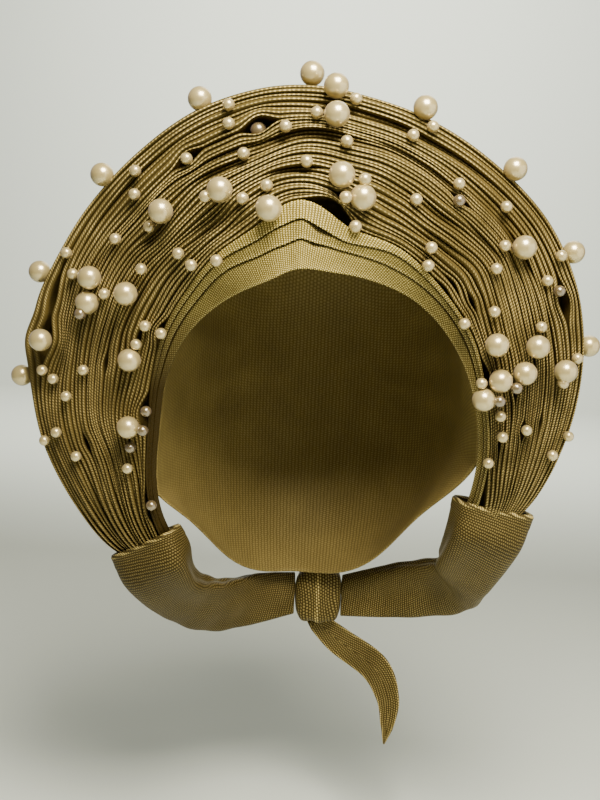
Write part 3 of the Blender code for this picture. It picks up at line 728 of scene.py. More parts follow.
def pleat_outline(section, pleat, inner, outer):
    """Radius, depth and distance from the ridge for the points of one pleat, from foot to foot."""
    inner += valley_half(section.turn, pleat)
    outer -= valley_half(section.turn, pleat + 1)
    middle, half = 0.5 * (inner + outer), max(0.5 * (outer - inner), NARROWEST_HALF)
    top = ridge_depth(section, pleat, middle)
    rise = min(1.25 * half, HIGHEST_RISE)
    deep = front_depth(section, middle) + VALLEY_SHARE * section.pleats
    shoulder = half * math.pi / 2
    below, upper = shoulder + deep - top, shoulder + UPPER_WALL
    outline = [(middle - half, deep, -below), (middle - half, top + rise + UPPER_WALL, -upper)]
    for angle in RIDGE_ANGLES:
        bend = math.radians(angle)
        outline.append((middle + half * math.sin(bend), top + rise * (1 - math.cos(bend)), half * bend))
    return outline + [(middle + half, top + rise + UPPER_WALL, upper), (middle + half, deep, below)]


def pleat_shade(turn, across, sunk):
    """How deep in painted shade a point of a pleat lies, by its distance from the ridge, how far that sinks
    and its turn.
    """
    open_fan = 1 - GATHERED_LIGHT * gathered(turn)
    extra_painted_shade = side_shade(turn) + RIGHT_SHADE * bell(turn - RIGHT_SHADE_TURN, RIGHT_SHADE_REACH)
    return extra_painted_shade + open_fan * ease((abs(across) - LIT_HALF) / SHADE_REACH) + SUNKEN_SHADE * sunk


def lagging(section, radius, depth):
    """A point of the halo. Inside the side wraps the outer pleats lag behind the inner ones."""
    start = crest_radius(section)
    lag = section.lag * (radius - start) / (section.rim_radius - start)
    return polar(section.turn + lag, radius, depth)


def lead_in(section, inner, outer, first):
    """The points before a run of pleats: the seam on the crest fold, or the foot of the pleat before."""
    if first == 0:
        start = crest_radius(section)
        seam = section.face_depth - 2 * FOLD_STEP + SEAM_SHARE * section.pleats
        return [polar(section.turn, start + FIRST_VALLEY, seam),
                polar(section.turn, start + FIRST_VALLEY + 0.05, seam + SEAM_TURN_IN)]
    foot = outer[first - 1] - valley_half(section.turn, first)
    middle = 0.5 * (inner[first - 1] + outer[first - 1])
    return [lagging(section, foot, front_depth(section, middle) + VALLEY_SHARE * section.pleats)]


def count_ribs(turns, cuts):
    """The ribs along every pleat, counted both ways from the top."""
    top = min(range(STATIONS), key=lambda n: abs(turns[n]))
    ribs = []
    for pleat in range(PLEATS):
        counted = [0.0]
        for n in range(1, STATIONS):
            radius = 0.5 * (cuts[n][1][pleat] + cuts[n][2][pleat])
            step = radius * math.radians(turns[n] - turns[n - 1])
            counted.append(counted[-1] + step / at_turn(RIB_SPACING, turns[n]))
        ribs.append([value - counted[top] for value in counted])
    return ribs


def build_pleats():
    """The three pieces of the pleated halo."""
    turns = spread(HALO_START, HALO_END, STATIONS)
    cuts = [valleys_at(turn) for turn in turns]
    ribs = count_ribs(turns, cuts)
    pieces = []
    for name, first, last in PLEAT_PIECES:
        points, stitch_map, shades, slack_and_highlight_spread = [], [], [], []
        for n, (section, inner, outer) in enumerate(cuts):
            density = at_turn(ROW_DENSITY, section.turn)
            slant = math.copysign(at_turn(RIB_SLANT, section.turn), section.turn)
            points += lead_in(section, inner, outer, first)
            lead = len(points) - len(shades)
            stitch_map += [(ribs[max(first - 1, 0)][n], DEEP_ROW + SEAM_TURN_IN * k) for k in range(lead)]
            shades += [1.0] * lead
            for pleat in range(first, last):
                middle = 0.5 * (inner[pleat] + outer[pleat])
                sunk = ridge_depth(section, pleat, middle) - front_depth(section, middle) - RIDGE_LEAN
                for radius, depth, across in pleat_outline(section, pleat, inner[pleat], outer[pleat]):
                    points.append(lagging(section, radius, depth))
                    stitch_map.append((ribs[pleat][n] + slant * across, across * density))
                    shades.append(pleat_shade(section.turn, across, max(sunk, 0.0)))
            slack_and_highlight_spread += [1 - light_reach(section.turn) / density] * (len(points) - len(slack_and_highlight_spread))
        pieces.append(add_cloth(name, "pleated_fan", STATIONS, points, stitch_map, shades, PLEAT_WALL,
                                PLEAT_CLOTH, slack_and_highlight_spread))
    return pieces


pleats = build_pleats()

# %% [markdown]
# Three plain folds of the same cloth frame the face, each lying on the one before like roof tiles. Every free
# edge is folded under, so it is two layers thick and round. Above the forehead the folds rise to a low peak,
# pinched in one crease down the middle. A strip bent round the face would keep one width, so here the outline
# across each fold is worked out anew at every turn.

# %% Plain folds round the face
FOLD_OVERLAP = 3.0
FOLD_WALL = 1.1
FOLD_GAP = 0.6
FACE_HEM_SHARE = 0.39
FACE_HEM_RISE_SHARE = 0.4
CREST_WALL_SHARE = 0.74
FOLD_STATIONS = 260
FOLD_PLY = 0.45
# How much of the painted side shade the plain folds take.
FOLD_SIDE_SHADE = 1.9
TILE_RISE = 1.35
EDGE_ANGLES = (-90, -50, -15, 15, 50, 90)
CORNER_ANGLES = (25, 50, 75, 90)
Gape = namedtuple("Gape", "turn reach opening")
INNER_GAPE = Gape(7.0, 6.0, 1.0)
MIDDLE_GAPE = Gape(8.5, 7.5, 2.4)
CREASE_TURN = 0.6
PEAK_RISE, PEAK_HALF = 1.4, 7.0
SHOULDER_SINK, SHOULDER_HALF = 0.9, 17.0
PINCH, PINCH_HALF = 1.3, 6.0
HEM_SHADE = 0.6
UNDER_SHADE = 0.8
BACK_SHADE = 0.9
FACE_EDGE = 1.2
THIN_EDGE = 0.8
LIP_ROOM = 4.5
LIP_STEPS = (1.5, 1.0, 0.6, 0.3)


def covered_by_crest(section):
    """What the crest fold covers of the folds beneath, less where the face's edge runs slanted."""
    before, after = section.turn - 3.0, section.turn + 3.0
    rise = row_at(SECTIONS, "turn", after).face_radius - row_at(SECTIONS, "turn", before).face_radius
    run = math.radians(after - before) * section.face_radius
    return min(FOLD_OVERLAP, section.crest - (FOLD_WALL + FOLD_GAP) * math.hypot(1, rise / run))


def folded_edge(radius, depth, under, reach):
    """Points of an edge folded under: from a reach on its rear, round the edge to the front."""
    half = 0.5 * under
    points = [(radius + reach, depth + under)]
    for angle in EDGE_ANGLES:
        bend = math.radians(angle)
        points.append((radius + half * (1 - math.cos(bend)), depth + half * (1 - math.sin(bend))))
    return points


def lap(start, lip, end, depth, gap):
    """Points across a fold's front, from its edge to the shade under the lip of the next fold."""
    scale = min(1.0, (lip - start) / LIP_ROOM)
    radii = spread(start, lip - 2.2 * scale, 8)[1:]
    radii += [lip - back * scale for back in LIP_STEPS] + [lip, lip + 0.6, end]
    points = []
    for radius in radii:
        shade = min(max(1 - (lip - radius) / (0.75 * scale + gap), 0.0), 1.0) ** 0.8
        dip = (0.5 + 0.5 * gap) * ease((radius - lip + 1.2 * scale + gap) / (1.0 + gap))
        points.append((radius, depth - TILE_RISE * ease((radius - start) / (lip - start)) + dip, shade))
    return points


def peak(turn):
    """How far the folds' edges rise at the pinched crease over the forehead, above their smooth line."""
    rise = PEAK_RISE * max(1 - abs(turn - CREASE_TURN) / PEAK_HALF, 0.0)
    return rise - SHOULDER_SINK * bell(turn - CREASE_TURN, SHOULDER_HALF)


def pinch(turn):
    """How far the folds come forward at the crease over the forehead, in millimetres."""
    return PINCH * max(1 - abs(turn - CREASE_TURN) / PINCH_HALF, 0.0) ** 1.3


def gape_at(gape, turn):
    """How far a fold gapes right of the crease: the fold beneath dips there, and its painted shade reaches
    further.
    """
    return gape.opening * bell(turn - gape.turn, gape.reach)


def shaded_points(points, shade):
    """The same points, each with a shade."""
    return [(radius, depth, shade) for radius, depth in points]


def thin_edge(radius, depth, width, reach):
    """A folded edge that stays thinner and shorter than the width that shows of its fold."""
    edge = folded_edge(radius, depth, min(THIN_EDGE, 0.5 * width), min(reach, 0.6 * width))
    return shaded_points(edge[:2], UNDER_SHADE) + shaded_points(edge[2:], 0.0)


def inner_fold_outline(section):
    """The fold next to the face, from the hem inside the opening to under the middle fold."""
    radius, depth = section.face_radius, section.face_depth
    covered = min(FOLD_OVERLAP, section.middle + covered_by_crest(section))
    hem = [(radius + back * section.inner, depth + deep * section.pleats)
           for back, deep in ((FACE_HEM_RISE_SHARE, FACE_HEM_SHARE), (0.28, 0.28), (0.12, 0.13))]
    edge = shaded_points(folded_edge(radius, depth, FACE_EDGE, 0)[3:], 0.0)
    lip = radius + section.inner + peak(section.turn)
    end = radius + section.inner + covered
    front = lap(edge[-1][0], lip, end, depth, gape_at(INNER_GAPE, section.turn))
    return shaded_points(hem, HEM_SHADE) + edge + front


def middle_fold_outline(section):
    """The middle fold, from its edge over the inner fold to under the crest fold."""
    start = section.face_radius + section.inner
    radius, lip = start + peak(section.turn), start + section.middle + peak(section.turn)
    depth = section.face_depth - FOLD_STEP
    edge = thin_edge(radius, depth, section.middle, 2.5)
    end = start + section.middle + covered_by_crest(section)
    return edge + lap(edge[-1][0], lip, end, depth, gape_at(MIDDLE_GAPE, section.turn))


def crest_fold_outline(section):
    """The outer fold, whose crest turns back beside the first pleat."""
    end = crest_radius(section)
    depth = section.face_depth - 2 * FOLD_STEP
    radius = end - section.crest + peak(section.turn)
    edge = thin_edge(radius, depth, section.crest, 2.2)
    round_top = min(1.2, 0.4 * section.crest)
    front = [(blend(edge[-1][0], end - round_top, share), depth) for share in spread(0, 1, 7)[1:]]
    for angle in CORNER_ANGLES:
        bend = math.radians(angle)
        front.append((end - round_top * (1 - math.sin(bend)), depth + round_top * (1 - math.cos(bend))))
    back = [(end, blend(depth + round_top, depth + CREST_WALL_SHARE * section.pleats, share))
            for share in (0.15, 0.4, 1.0)]
    return edge + shaded_points(front, 0.0) + shaded_points(back, BACK_SHADE)


def build_fold(name, node, outline_of):
    """One plain fold round the face, from the left gather over the forehead to the right gather."""
    points, stitch_map, shades = [], [], []
    arc = 0.0
    turns = spread(HALO_START, HALO_END, FOLD_STATIONS)
    for n, turn in enumerate(turns):
        section = row_at(SECTIONS, "turn", turn)
        if n:
            arc += (section.face_radius + section.inner) * math.radians(turn - turns[n - 1]) / RIB_BAND
        outline = outline_of(section)
        edge = min(radius for radius, depth, shade in outline)
        for radius, depth, shade in outline:
            points.append(polar(turn, radius, depth - pinch(turn)))
            stitch_map.append((arc, radius - edge))
            shades.append(shade + FOLD_SIDE_SHADE * side_shade(turn))
    return add_cloth(name, node, FOLD_STATIONS, points, stitch_map, shades, FOLD_PLY, BAND_CLOTH)


folds = [build_fold("inner_fold_cloth", "band_inner_fold", inner_fold_outline),
         build_fold("middle_fold_cloth", "band_middle_fold", middle_fold_outline),
         build_fold("crest_fold_cloth", "band_crest_fold", crest_fold_outline)]

# %% [markdown]
# Behind the folds a plain layer of cloth covers the crown and the back of the head. It is open at the face
# and the neck, so through the face opening its inside shows. The surface grows from the folds' rear edge to
# the head's own rounded shape. Soft folds in it run from the face to the back of the head. Its ribs fan out
# round a point in front of the face, and V is kept far from zero, so that no painted edge highlight falls on
# it.
# A ball could be squeezed into this shape, but its edge has to follow the folds all the way round.

# %% Crown cover
HEAD_CENTRE = (-0.5, 5.0, -92.0)
HEAD_HALF_WIDTH = 73.5
HEAD_RISE = 92.0
HEAD_DROP = 140.0
HEAD_HALF_LENGTH = 97.0
HEAD_PLAN_POWER = 2.6
HEAD_SIDE_POWER = 2.3
FACE_START_TURN = -136.0
FACE_END_TURN = 118.0
NAPE_Y = 55.0
COVER_PLY = 0.9
COVER_GAP = 1.55
COVER_DRAPE = 1.1
COVER_RIB = 1.5
SPREAD_CENTRE_Y = -130.0
SPREAD_RADIUS = 160.0
COVER_COLUMNS = 181
COVER_ROWS = 61
FAR_FROM_EDGE = 500.0
RIB_SLOPE = 0.6


def head_radius(turn, share):
    """Radius of the head round its own centre, a share of the way from its middle to its front or back."""
    sine, cosine = math.sin(math.radians(turn)), math.cos(math.radians(turn))
    height = HEAD_RISE if cosine > 0 else HEAD_DROP
    plan = rounded((sine / HEAD_HALF_WIDTH, cosine / height), HEAD_PLAN_POWER)
    return plan * max(1 - abs(share) ** HEAD_SIDE_POWER, 0.0) ** (1 / HEAD_SIDE_POWER)


def cover_edge(turn):
    """Radius and depth of the cover's open edge: behind the face hem, then along the neck to the nape."""
    mouth = min(max(turn, FACE_START_TURN), FACE_END_TURN)
    section = row_at(SECTIONS, "turn", mouth)
    radius = section.face_radius + FACE_HEM_RISE_SHARE * section.inner
    depth = section.face_depth + FACE_HEM_SHARE * section.pleats + COVER_GAP
    if turn == mouth:
        return radius, depth
    past = ease((turn - mouth) / (math.copysign(180, turn) - mouth))
    depth = blend(depth, NAPE_Y, past)
    return blend(radius, head_radius(turn, (depth - HEAD_CENTRE[1]) / HEAD_HALF_LENGTH), past), depth


def cover_point(turn, along):
    """A point of the cover's inner side, from its open edge over the head to the middle of the back."""
    edge_radius, edge_depth = cover_edge(turn)
    first = math.asin((edge_depth - HEAD_CENTRE[1]) / HEAD_HALF_LENGTH)
    share = math.sin(blend(first, math.pi / 2, along))
    correction = (edge_radius - head_radius(turn, math.sin(first))) * (1 - along) ** 4
    fold = 1 + 0.5 * wave(turn, 9, 5 * along) + 0.5 * wave(turn, 16, -3 * along)
    drape = COVER_DRAPE * fold * math.sin(math.pi * min(along, 0.96)) ** 2
    radius = head_radius(turn, share) + correction - drape * min(1.0, 3 * (1 - along))
    shift = ease(along * 2)
    angle = math.radians(turn)
    return Vector((blend(HALO_CENTRE_X, HEAD_CENTRE[0], shift) + radius * math.sin(angle),
                   HEAD_CENTRE[1] + HEAD_HALF_LENGTH * share,
                   blend(HALO_CENTRE_Z, HEAD_CENTRE[2], shift) + radius * math.cos(angle)))


def build_cover():
    """The plain layer over the crown and the back of the head."""
    points, stitch_map = [], []
    for along in spread(0, 1, COVER_ROWS):
        for turn in spread(-180, 180, COVER_COLUMNS):
            point = cover_point(turn, along)
            points.append(point)
            fanned = SPREAD_RADIUS * math.atan2(point.x, point.y - SPREAD_CENTRE_Y)
            stitch_map.append((fanned / COVER_RIB, FAR_FROM_EDGE + point.z + RIB_SLOPE * point.y))
    return add_cloth("crown_cover_cloth", "crown_cover", COVER_ROWS, points, stitch_map, [0.0] * len(points),
                     COVER_PLY, PLAIN_CLOTH)


cover = build_cover()

# %% [markdown]
# At each side a plain end of the cloth wraps the gathered pleats like a sleeve. Its mouth has a wide hem that
# is turned in, so the rim is round and double. From there it runs back and down to the nape, flatter and
# flatter, with soft wrinkles that follow it. A tube along a curve would keep one section, so rings of points
# are set along the way instead, each with a width, a thickness and a tilt of its own.

# %% Side wraps
WrapSection = namedtuple("WrapSection", "place x y z edge_x edge_y edge_z width thickness")
LEFT_WRAP = [WrapSection(*row) for row in (
    (0, -88.4, -2, -185.8, -0.82, 0.36, -0.46, 40, 25),
    (1, -82, 3.5, -199.5, -0.80, 0.40, -0.50, 42, 22.5),
    (2, -74.5, 22, -219, -0.68, 0.40, -0.62, 36, 16),
    (3, -57, 42, -231, -0.40, 0.25, -0.88, 34, 10),
    (4, -35, 62, -232, -0.15, 0.05, -0.98, 30, 7.5),
    (5, -12, 72, -230, 0, 0, -1, 23, 7))]
RIGHT_WRAP = [WrapSection(*row) for row in (
    (0, 91.5, -3, -157.5, 0.92, 0.34, -0.19, 41.5, 26),
    (1, 87.5, 4, -176, 0.90, 0.38, -0.30, 39.5, 22),
    (2, 81.5, 21, -198, 0.78, 0.30, -0.55, 37, 16),
    (3, 77, 40, -211.5, 0.50, 0.25, -0.83, 36, 10),
    (4, 48, 60, -222, 0.15, 0.05, -0.98, 31, 7.5),
    (5, 17, 72, -230, 0, 0, -1, 23, 7))]
KNOT_CENTRE = Vector((2.5, 73.0, -230.0))
WRAP_STATIONS = 100
WRAP_SIDES = 96
WRAP_POWER = 4.0
WRAP_PLY = 0.8
MOUTH_LEVEL = 1.5
HEM_DEPTH = 0.25
HEM_LENGTH = 6.0
HEM_STEP = 1.2
HEM_ROWS = ((0.9, HEM_LENGTH), (0.9, 3.0), (0.7, 1.0), (0.35, 0.15), (0.1, 0.0))
SHADED_ROWS = 3
MOUTH_HUG = 0.66
MOUTH_ROUND = 0.6
HUG_LENGTH = 18.0
MOUTH_INSET = 0.35
WRAP_INSET = 0.15
WRINKLE = 0.7
WRINKLE_LENGTH = 40.0
CROSS_WRINKLE = 0.6
CROSS_PLACE = 3.0
CROSS_REACH = 1.6


def centre_of(section):
    """The middle of a section of a wrap or of the hanging end."""
    return Vector((section.x, section.y, section.z))


def wrap_ring(section, heading, shrink, phase, hug):
    """One section of a sleeve, across its heading and along its own edge, with wrinkles that follow it."""
    edge = Vector((section.edge_x, section.edge_y, section.edge_z)).normalized()
    face = heading.cross(edge).normalized()
    cross = CROSS_WRINKLE * bell(section.place - CROSS_PLACE, CROSS_REACH)
    ring, girth = [], [0.0]
    for n in range(WRAP_SIDES + 1):
        angle = 2 * math.pi * n / WRAP_SIDES
        across, through = math.cos(angle), math.sin(angle)
        size = rounded((across, through), WRAP_POWER)
        along = math.sin(3.2 * section.place * math.pi + 2.0 * math.sin(angle))
        wrinkle = WRINKLE * phase * (math.sin(5 * angle + 0.9 * section.place) + cross * along)
        wide, deep = 0.5 * section.width - shrink + wrinkle, 0.5 * section.thickness - shrink + 0.5 * wrinkle
        if (face * through).y < 0:
            deep *= hug
        ring.append(centre_of(section) + edge * (wide * size * across) + face * (deep * size * through))
        if n:
            girth.append(girth[-1] + (ring[n] - ring[n - 1]).length)
    return ring, girth


def build_wrap(name, node, rows, extra_painted_shade):
    """A sleeve of cloth round the gathered pleats, hemmed at its mouth and flat at the nape."""
    places = spread(0, len(rows) - 1, WRAP_STATIONS)
    sections = [row_at(rows, "place", place) for place in places]
    centres = [centre_of(section) for section in sections] + [KNOT_CENTRE]
    headings, walked = [], [0.0]
    for n, place in enumerate(places):
        heading = centres[n + 1] - centres[max(n - 1, 0)]
        heading.y *= min(1.0, place / MOUTH_LEVEL)
        headings.append(heading.normalized())
        walked.append(walked[-1] + (centres[n + 1] - centres[n]).length)
    points, stitch_map = [], []
    for shrink, inside in HEM_ROWS:
        ring, girth = wrap_ring(sections[0], headings[0], shrink + MOUTH_INSET, 0.0, MOUTH_HUG)
        points += [point + headings[0] * inside for point in ring]
        stitch_map += [(value / RIB_BAND, -inside) for value in girth]
    for n, section in enumerate(sections):
        shrink = WRAP_INSET + HEM_DEPTH * ease((walked[n] - HEM_LENGTH) / HEM_STEP)
        hug = blend(MOUTH_HUG, 1.0, ease(walked[n] / HUG_LENGTH))
        ring, girth = wrap_ring(section, headings[n], shrink, ease(walked[n] / WRINKLE_LENGTH), hug)
        start = MOUTH_ROUND if n == 0 else 0.0
        points += [point + headings[0] * start for point in ring]
        stitch_map += [(value / RIB_BAND, walked[n] + start) for value in girth]
    inside_mouth = SHADED_ROWS * (WRAP_SIDES + 1)
    # Painted shade inside the mouth's hem, and the extra painted shade on the rest of the sleeve.
    shades = [UNDER_SHADE] * inside_mouth + [extra_painted_shade] * (len(points) - inside_mouth)
    return add_cloth(name, node, len(HEM_ROWS) + WRAP_STATIONS, points, stitch_map, shades, WRAP_PLY,
                     SLEEVE_CLOTH)


# The left wrap gets extra painted shade all over.
wraps = [build_wrap("left_wrap_cloth", "side_wrap_left", LEFT_WRAP, 0.24),
         build_wrap("right_wrap_cloth", "side_wrap_right", RIGHT_WRAP, 0.0)]

# %% [markdown]
# Behind the neck the two ends are tied. The knot is one turn of cloth round them, a rounded block with
# creases that run round it. Crossed loops could be modelled, but the photograph doesn't show the knot, so it
# stays plain. From under it one pointed end hangs down beside the neck and shows in front.

# %% Knot and hanging end
KNOT_SIZE = Vector((28.3, 20.0, 34.0))
KNOT_RINGS = 36
KNOT_SIDES = 64
KNOT_POWER = 3.6
KNOT_CREASES = 9.0
KNOT_CREASE_DEPTH = 0.5
KNOT_INSET = 0.45
KNOT_RADIUS = 14
KNOT_GIRTH = 12

TailSection = namedtuple("TailSection", "place x y z width")
TAIL = [TailSection(*row) for row in (
    (0, 2.5, 74, -247.4, 12), (1, 17, 77, -260, 17),
    (2, 39, 79, -276, 18), (3, 48, 78, -294, 14),
    (4, 48.5, 76, -310, 8.5), (5, 47, 75, -322, 1.2))]
TAIL_STATIONS = 70
TAIL_COLUMNS = 17
TAIL_PLY = 0.9


def build_knot():
    """The knot: a rounded block of tied cloth, with creases round it."""
    half = KNOT_SIZE / 2
    stretched = Matrix.Diagonal(half)
    points, stitch_map = [], []
    for row in range(KNOT_RINGS + 1):
        lean = math.pi * row / KNOT_RINGS
        for n in range(KNOT_SIDES + 1):
            turn = 2 * math.pi * n / KNOT_SIDES
            way = Vector((math.cos(lean), math.sin(lean) * math.sin(turn), math.sin(lean) * math.cos(turn)))
            size = rounded(way, KNOT_POWER)
            crease = math.sin(way.x * size * KNOT_CREASES + 0.8 * math.sin(2 * turn))
            crease *= KNOT_CREASE_DEPTH * math.sin(lean) ** 0.5
            scale = size * (1 - (KNOT_INSET - crease) / KNOT_RADIUS)
            points.append(KNOT_CENTRE + stretched @ way * scale)
            # V runs from the knot's middle, so the painted edge highlight makes a band round it there.
            stitch_map.append((turn * KNOT_GIRTH / RIB_BAND, way.x * half.x))
    piece = start_cloth("nape_knot_cloth", KNOT_RINGS + 1, points, stitch_map, SLEEVE_CLOTH)
    merge_points(piece.data, 5 * MERGE, closed=True)
    return hand_over(piece, "nape_knot")


def build_tail():
    """The hanging end: a flat strip that narrows to a point, with a crease along its middle."""
    sections = [row_at(TAIL, "place", place) for place in spread(0, len(TAIL) - 1, TAIL_STATIONS)]
    centres = [centre_of(section) for section in sections]
    points, stitch_map = [], []
    walked = 0.0
    for n, section in enumerate(sections):
        heading = centres[min(n + 1, TAIL_STATIONS - 1)] - centres[max(n - 1, 0)] if n else Vector((0, 0, -1))
        walked += (centres[n] - centres[max(n - 1, 0)]).length
        across = heading.cross(Vector((0, 1, 0))).normalized()
        for share in spread(-1, 1, TAIL_COLUMNS):
            bow = 0.35 * (abs(share) - 0.5) + 0.25 * math.sin(3 * share + 0.12 * walked)
            points.append(centres[n] + across * (0.5 * section.width * share) + Vector((0, bow, 0)))
            stitch_map.append((walked / RIB_BAND, 0.5 * section.width * (1 - abs(share))))
    return add_cloth("tail_cloth", "tie_tail", TAIL_STATIONS, points, stitch_map, [0.0] * len(points),
                     TAIL_PLY, SLEEVE_CLOTH)


knot = build_knot()
tail = build_tail()

# %% [markdown]
# The beads are imitation pearls: moulded plastic dipped in a pearl coat, about 11 mm and 5 mm across. The
# coat gives the eye a soft metal-like glow under a clear gloss. Each bead has a dimple at both ends, where
# the fine hole for its thread comes out. The hole itself never shows, so it isn't cut. One bead of each size
# is modelled from a sphere, then copied. The large beads sit where the solids have them.

# %% Pearl material
PEARL_BODY = "#CAB77A"
PEARL_SHADE = "#B9A360"
# A darker, greyer copy of the pearl colours, as painted shade for beads that lie in shadow.
SHADED_PEARL_BODY = "#7D6C45"
SHADED_PEARL_TONE = "#665632"


def pearl_coat(name, body, shade):
    """A cloudy pearl body under a soft clear coat."""
    made, tree, shader = start_material(name, {
        "Metallic": 0.5, "Roughness": 0.32, "Coat Weight": 1.0, "Coat Roughness": 0.19, "Coat IOR": 2.0,
        "Sheen Weight": 0.1, "Sheen Tint": linear("#F6D8E0")})
    where = add_node(tree, "TexCoord", {}, "Object")
    cloud = add_node(tree, "TexNoise", {"Vector": where, "Scale": 160.0, "Detail": 2.0})
    tint = add_node(tree, "Mix", {"Factor": cloud, 6: linear(body), 7: linear(shade)}, 2, data_type="RGBA")
    tree.links.new(tint, shader.inputs["Base Color"])
    return made


PEARL_COAT = pearl_coat("imitation_pearl_coat", PEARL_BODY, PEARL_SHADE)
SHADED_PEARL_COAT = pearl_coat("imitation_pearl_coat_painted_shade", SHADED_PEARL_BODY, SHADED_PEARL_TONE)
print("pearl materials:", PEARL_COAT.name, SHADED_PEARL_COAT.name)

# %% Beads
LARGE_PEARL = 10.8
SMALL_PEARL = 5.3
HOLE_SHARE = 0.09
HOLE_DIP = 0.95
HOLE_STEP = 137.5


def add_bead(name, diameter, segments, rings):
    """A bead centred at zero, with a dimple at top and bottom where its hole comes out."""
    radius = 0.5 * diameter * MM
    bpy.ops.mesh.primitive_uv_sphere_add(segments=segments, ring_count=rings, radius=radius)
    bead = bpy.context.object
    bead.name = name
    bpy.ops.object.mode_set(mode="EDIT")
    shape = bmesh.from_edit_mesh(bead.data)
    for vertex in shape.verts:
        if math.hypot(vertex.co.x, vertex.co.y) < HOLE_SHARE * radius:
            vertex.co.z *= HOLE_DIP
    bmesh.update_edit_mesh(bead.data)
    bpy.ops.object.mode_set(mode="OBJECT")
    bpy.ops.object.shade_smooth()
    bead.data.materials.append(PEARL_COAT)
    bead.select_set(False)
    return bead


def copy_bead(model, name, centre, lean):
    """A bead of its own mesh at a centre, its hole leaning some way."""
    bead = model.copy()
    bead.data = model.data.copy()
    bead.name = name
    bpy.context.scene.collection.objects.link(bead)
    turned = lean.to_track_quat("Z", "Y").to_matrix().to_4x4()
    bead.data.transform(Matrix.Translation(centre) @ turned)
    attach(bead, "root")
    return bead


def hole_direction(number):
    """The way a bead's hole runs: roughly level with the cloth, no two the same."""
    turn = math.radians(HOLE_STEP * number)
    return Vector((math.cos(turn), 0.35 * math.sin(1.7 * turn), math.sin(turn))).normalized()


def place_large_pearls():
    """A large bead in place of each one among the solids."""
    model = add_bead("large_pearl_model", LARGE_PEARL, 44, 28)
    names = sorted(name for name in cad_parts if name.startswith("pearl_large"))
    beads = []
    for number, name in enumerate(names, 1):
        low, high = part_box(name)
        bead = copy_bead(model, f"large_pearl_{number:02d}", (low + high) / 2, hole_direction(number))
        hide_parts(name)
        beads.append(bead)
    bpy.data.objects.remove(model)
    return beads


large_pearls = place_large_pearls()
print("large pearls:", len(large_pearls))

# %% [markdown]
# The small beads are placed by turn and radius, read off the photograph. Each one starts in front of the
# cloth and moves back until it touches a pleat or another bead. Nine that lie low between the pleats get a
# darker copy of the pearl material as painted shade, and so does one, a bit bigger, that has slipped into a
# pocket behind the ridges.

# %% Small pearls
SmallPearl = namedtuple("SmallPearl", "turn radius")
DEEP_PEARL = SmallPearl(-11.7, 102.2)
DEEP_SIZE = 7.0
DEEP_SINK = 6.5
SHADED_PEARLS = (22, 35, 43, 50, 51, 65, 66, 67, 69)
SMALL_PEARLS = [SmallPearl(*row) for row in (
    (-17.2, 115.9), (-18.1, 107.1), (-4.7, 100.1), (2.4, 106.7), (10.2, 116.5), (27.3, 119.0), (24.5, 110.5),
    (10.6, 96.1), (-42.8, 112.7), (-30.6, 100.8), (-16.1, 91.5), (1.1, 84.5), (-46.6, 104.8), (-30.5, 81.0),
    (-19.6, 72.9), (-11.0, 75.4), (-49.7, 88.9), (-58.5, 100.0), (-67.7, 120.7), (-71.5, 113.7),
    (-73.3, 95.0), (-80.4, 105.4), (-61.5, 81.8), (-49.3, 70.3), (-49.0, 62.4), (-39.2, 55.3), (-79.3, 72.2),
    (-80.7, 64.1), (-86.5, 75.9), (18.2, 82.9), (14.6, 72.8), (21.3, 63.1), (39.5, 105.2), (33.6, 86.8),
    (42.3, 99.8), (50.6, 115.9), (46.6, 76.8), (50.6, 71.2), (57.9, 105.9), (65.4, 130.0), (62.0, 97.9),
    (69.3, 119.6), (72.2, 124.4), (72.8, 91.4), (74.1, 76.8), (79.2, 112.8), (86.9, 131.8), (92.2, 125.8),
    (93.9, 84.7), (94.3, 102.0), (98.5, 95.2), (102.6, 97.8), (104.4, 112.9), (107.9, 102.7), (103.4, 136.7),
    (108.2, 132.0), (115.9, 102.9), (-94.9, 126.6), (-97.0, 121.0), (-101.4, 115.5), (-95.1, 103.7),
    (-109.2, 127.0), (-110.2, 135.6), (-115.9, 121.7), (-110.8, 77.0), (-116.6, 82.7), (-119.8, 92.7),
    (-124.7, 100.1), (-136.9, 103.9))]
SEAT_STEP = 0.1
SEAT_TRAVEL = 26.0
SINK = 0.25


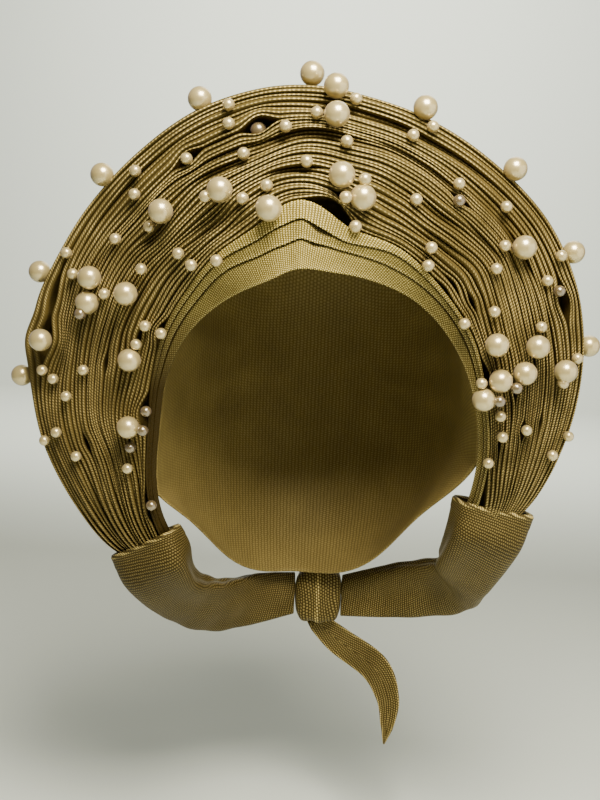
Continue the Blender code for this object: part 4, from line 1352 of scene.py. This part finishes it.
def surface_tree(pieces):
    """A search tree over the finished surfaces of some pieces."""
    points, faces = [], []
    for piece in pieces:
        start = len(points)
        points += [vertex.co / MM for vertex in piece.data.vertices]
        faces += [[start + n for n in polygon.vertices] for polygon in piece.data.polygons]
    return BVHTree.FromPolygons(points, faces)


def place_small_pearls():
    """The small beads, moved along the line of sight until they touch."""
    tree = surface_tree(pleats + folds)
    model = add_bead("small_pearl_model", SMALL_PEARL, 28, 18)
    radius = 0.5 * SMALL_PEARL
    placed = [(sum((vertex.co for vertex in bead.data.vertices), Vector()) / len(bead.data.vertices) / MM,
               0.5 * LARGE_PEARL) for bead in large_pearls]
    eye = camera.matrix_world.translation / MM
    beads = []
    for number, pearl in enumerate(SMALL_PEARLS, 1):
        section = row_at(SECTIONS, "turn", pearl.turn)
        centre = polar(pearl.turn, pearl.radius, front_depth(section, pearl.radius) - radius)
        sight = (centre - eye).normalized()
        centre -= 3 * radius * sight
        moved = 0.0
        while moved < SEAT_TRAVEL:
            ahead = centre + SEAT_STEP * sight
            if tree.find_nearest(ahead, radius - SINK)[0] is not None:
                break
            if any((ahead - other).length < radius + size for other, size in placed):
                break
            centre, moved = ahead, moved + SEAT_STEP
        placed.append((centre, radius))
        beads.append(copy_bead(model, f"small_pearl_{number:02d}", centre * MM, hole_direction(number + 40)))
        # These beads get painted shade: the darker copy of the pearl material.
        if number in SHADED_PEARLS:
            beads[-1].data.materials[0] = SHADED_PEARL_COAT
    bpy.data.objects.remove(model)
    return beads


def place_deep_pearl():
    """The bead that has slipped into the widest pocket, behind the ridges."""
    section = row_at(SECTIONS, "turn", DEEP_PEARL.turn)
    centre = polar(DEEP_PEARL.turn, DEEP_PEARL.radius, front_depth(section, DEEP_PEARL.radius) + DEEP_SINK)
    model = add_bead("deep_pearl_model", DEEP_SIZE, 32, 20)
    bead = copy_bead(model, "small_pearl_in_pocket", centre * MM, hole_direction(3))
    # This bead gets painted shade too.
    bead.data.materials[0] = SHADED_PEARL_COAT
    bpy.data.objects.remove(model)
    return bead


small_pearls = place_small_pearls() + [place_deep_pearl()]
print("small pearls:", len(small_pearls))

# %% [markdown]
# Last comes the form of a row for each cloth piece's flat size: the piece, its width and length, how it is
# held and what it rests on.

FlatCut = namedtuple("FlatCut", "piece width length held rests_on")
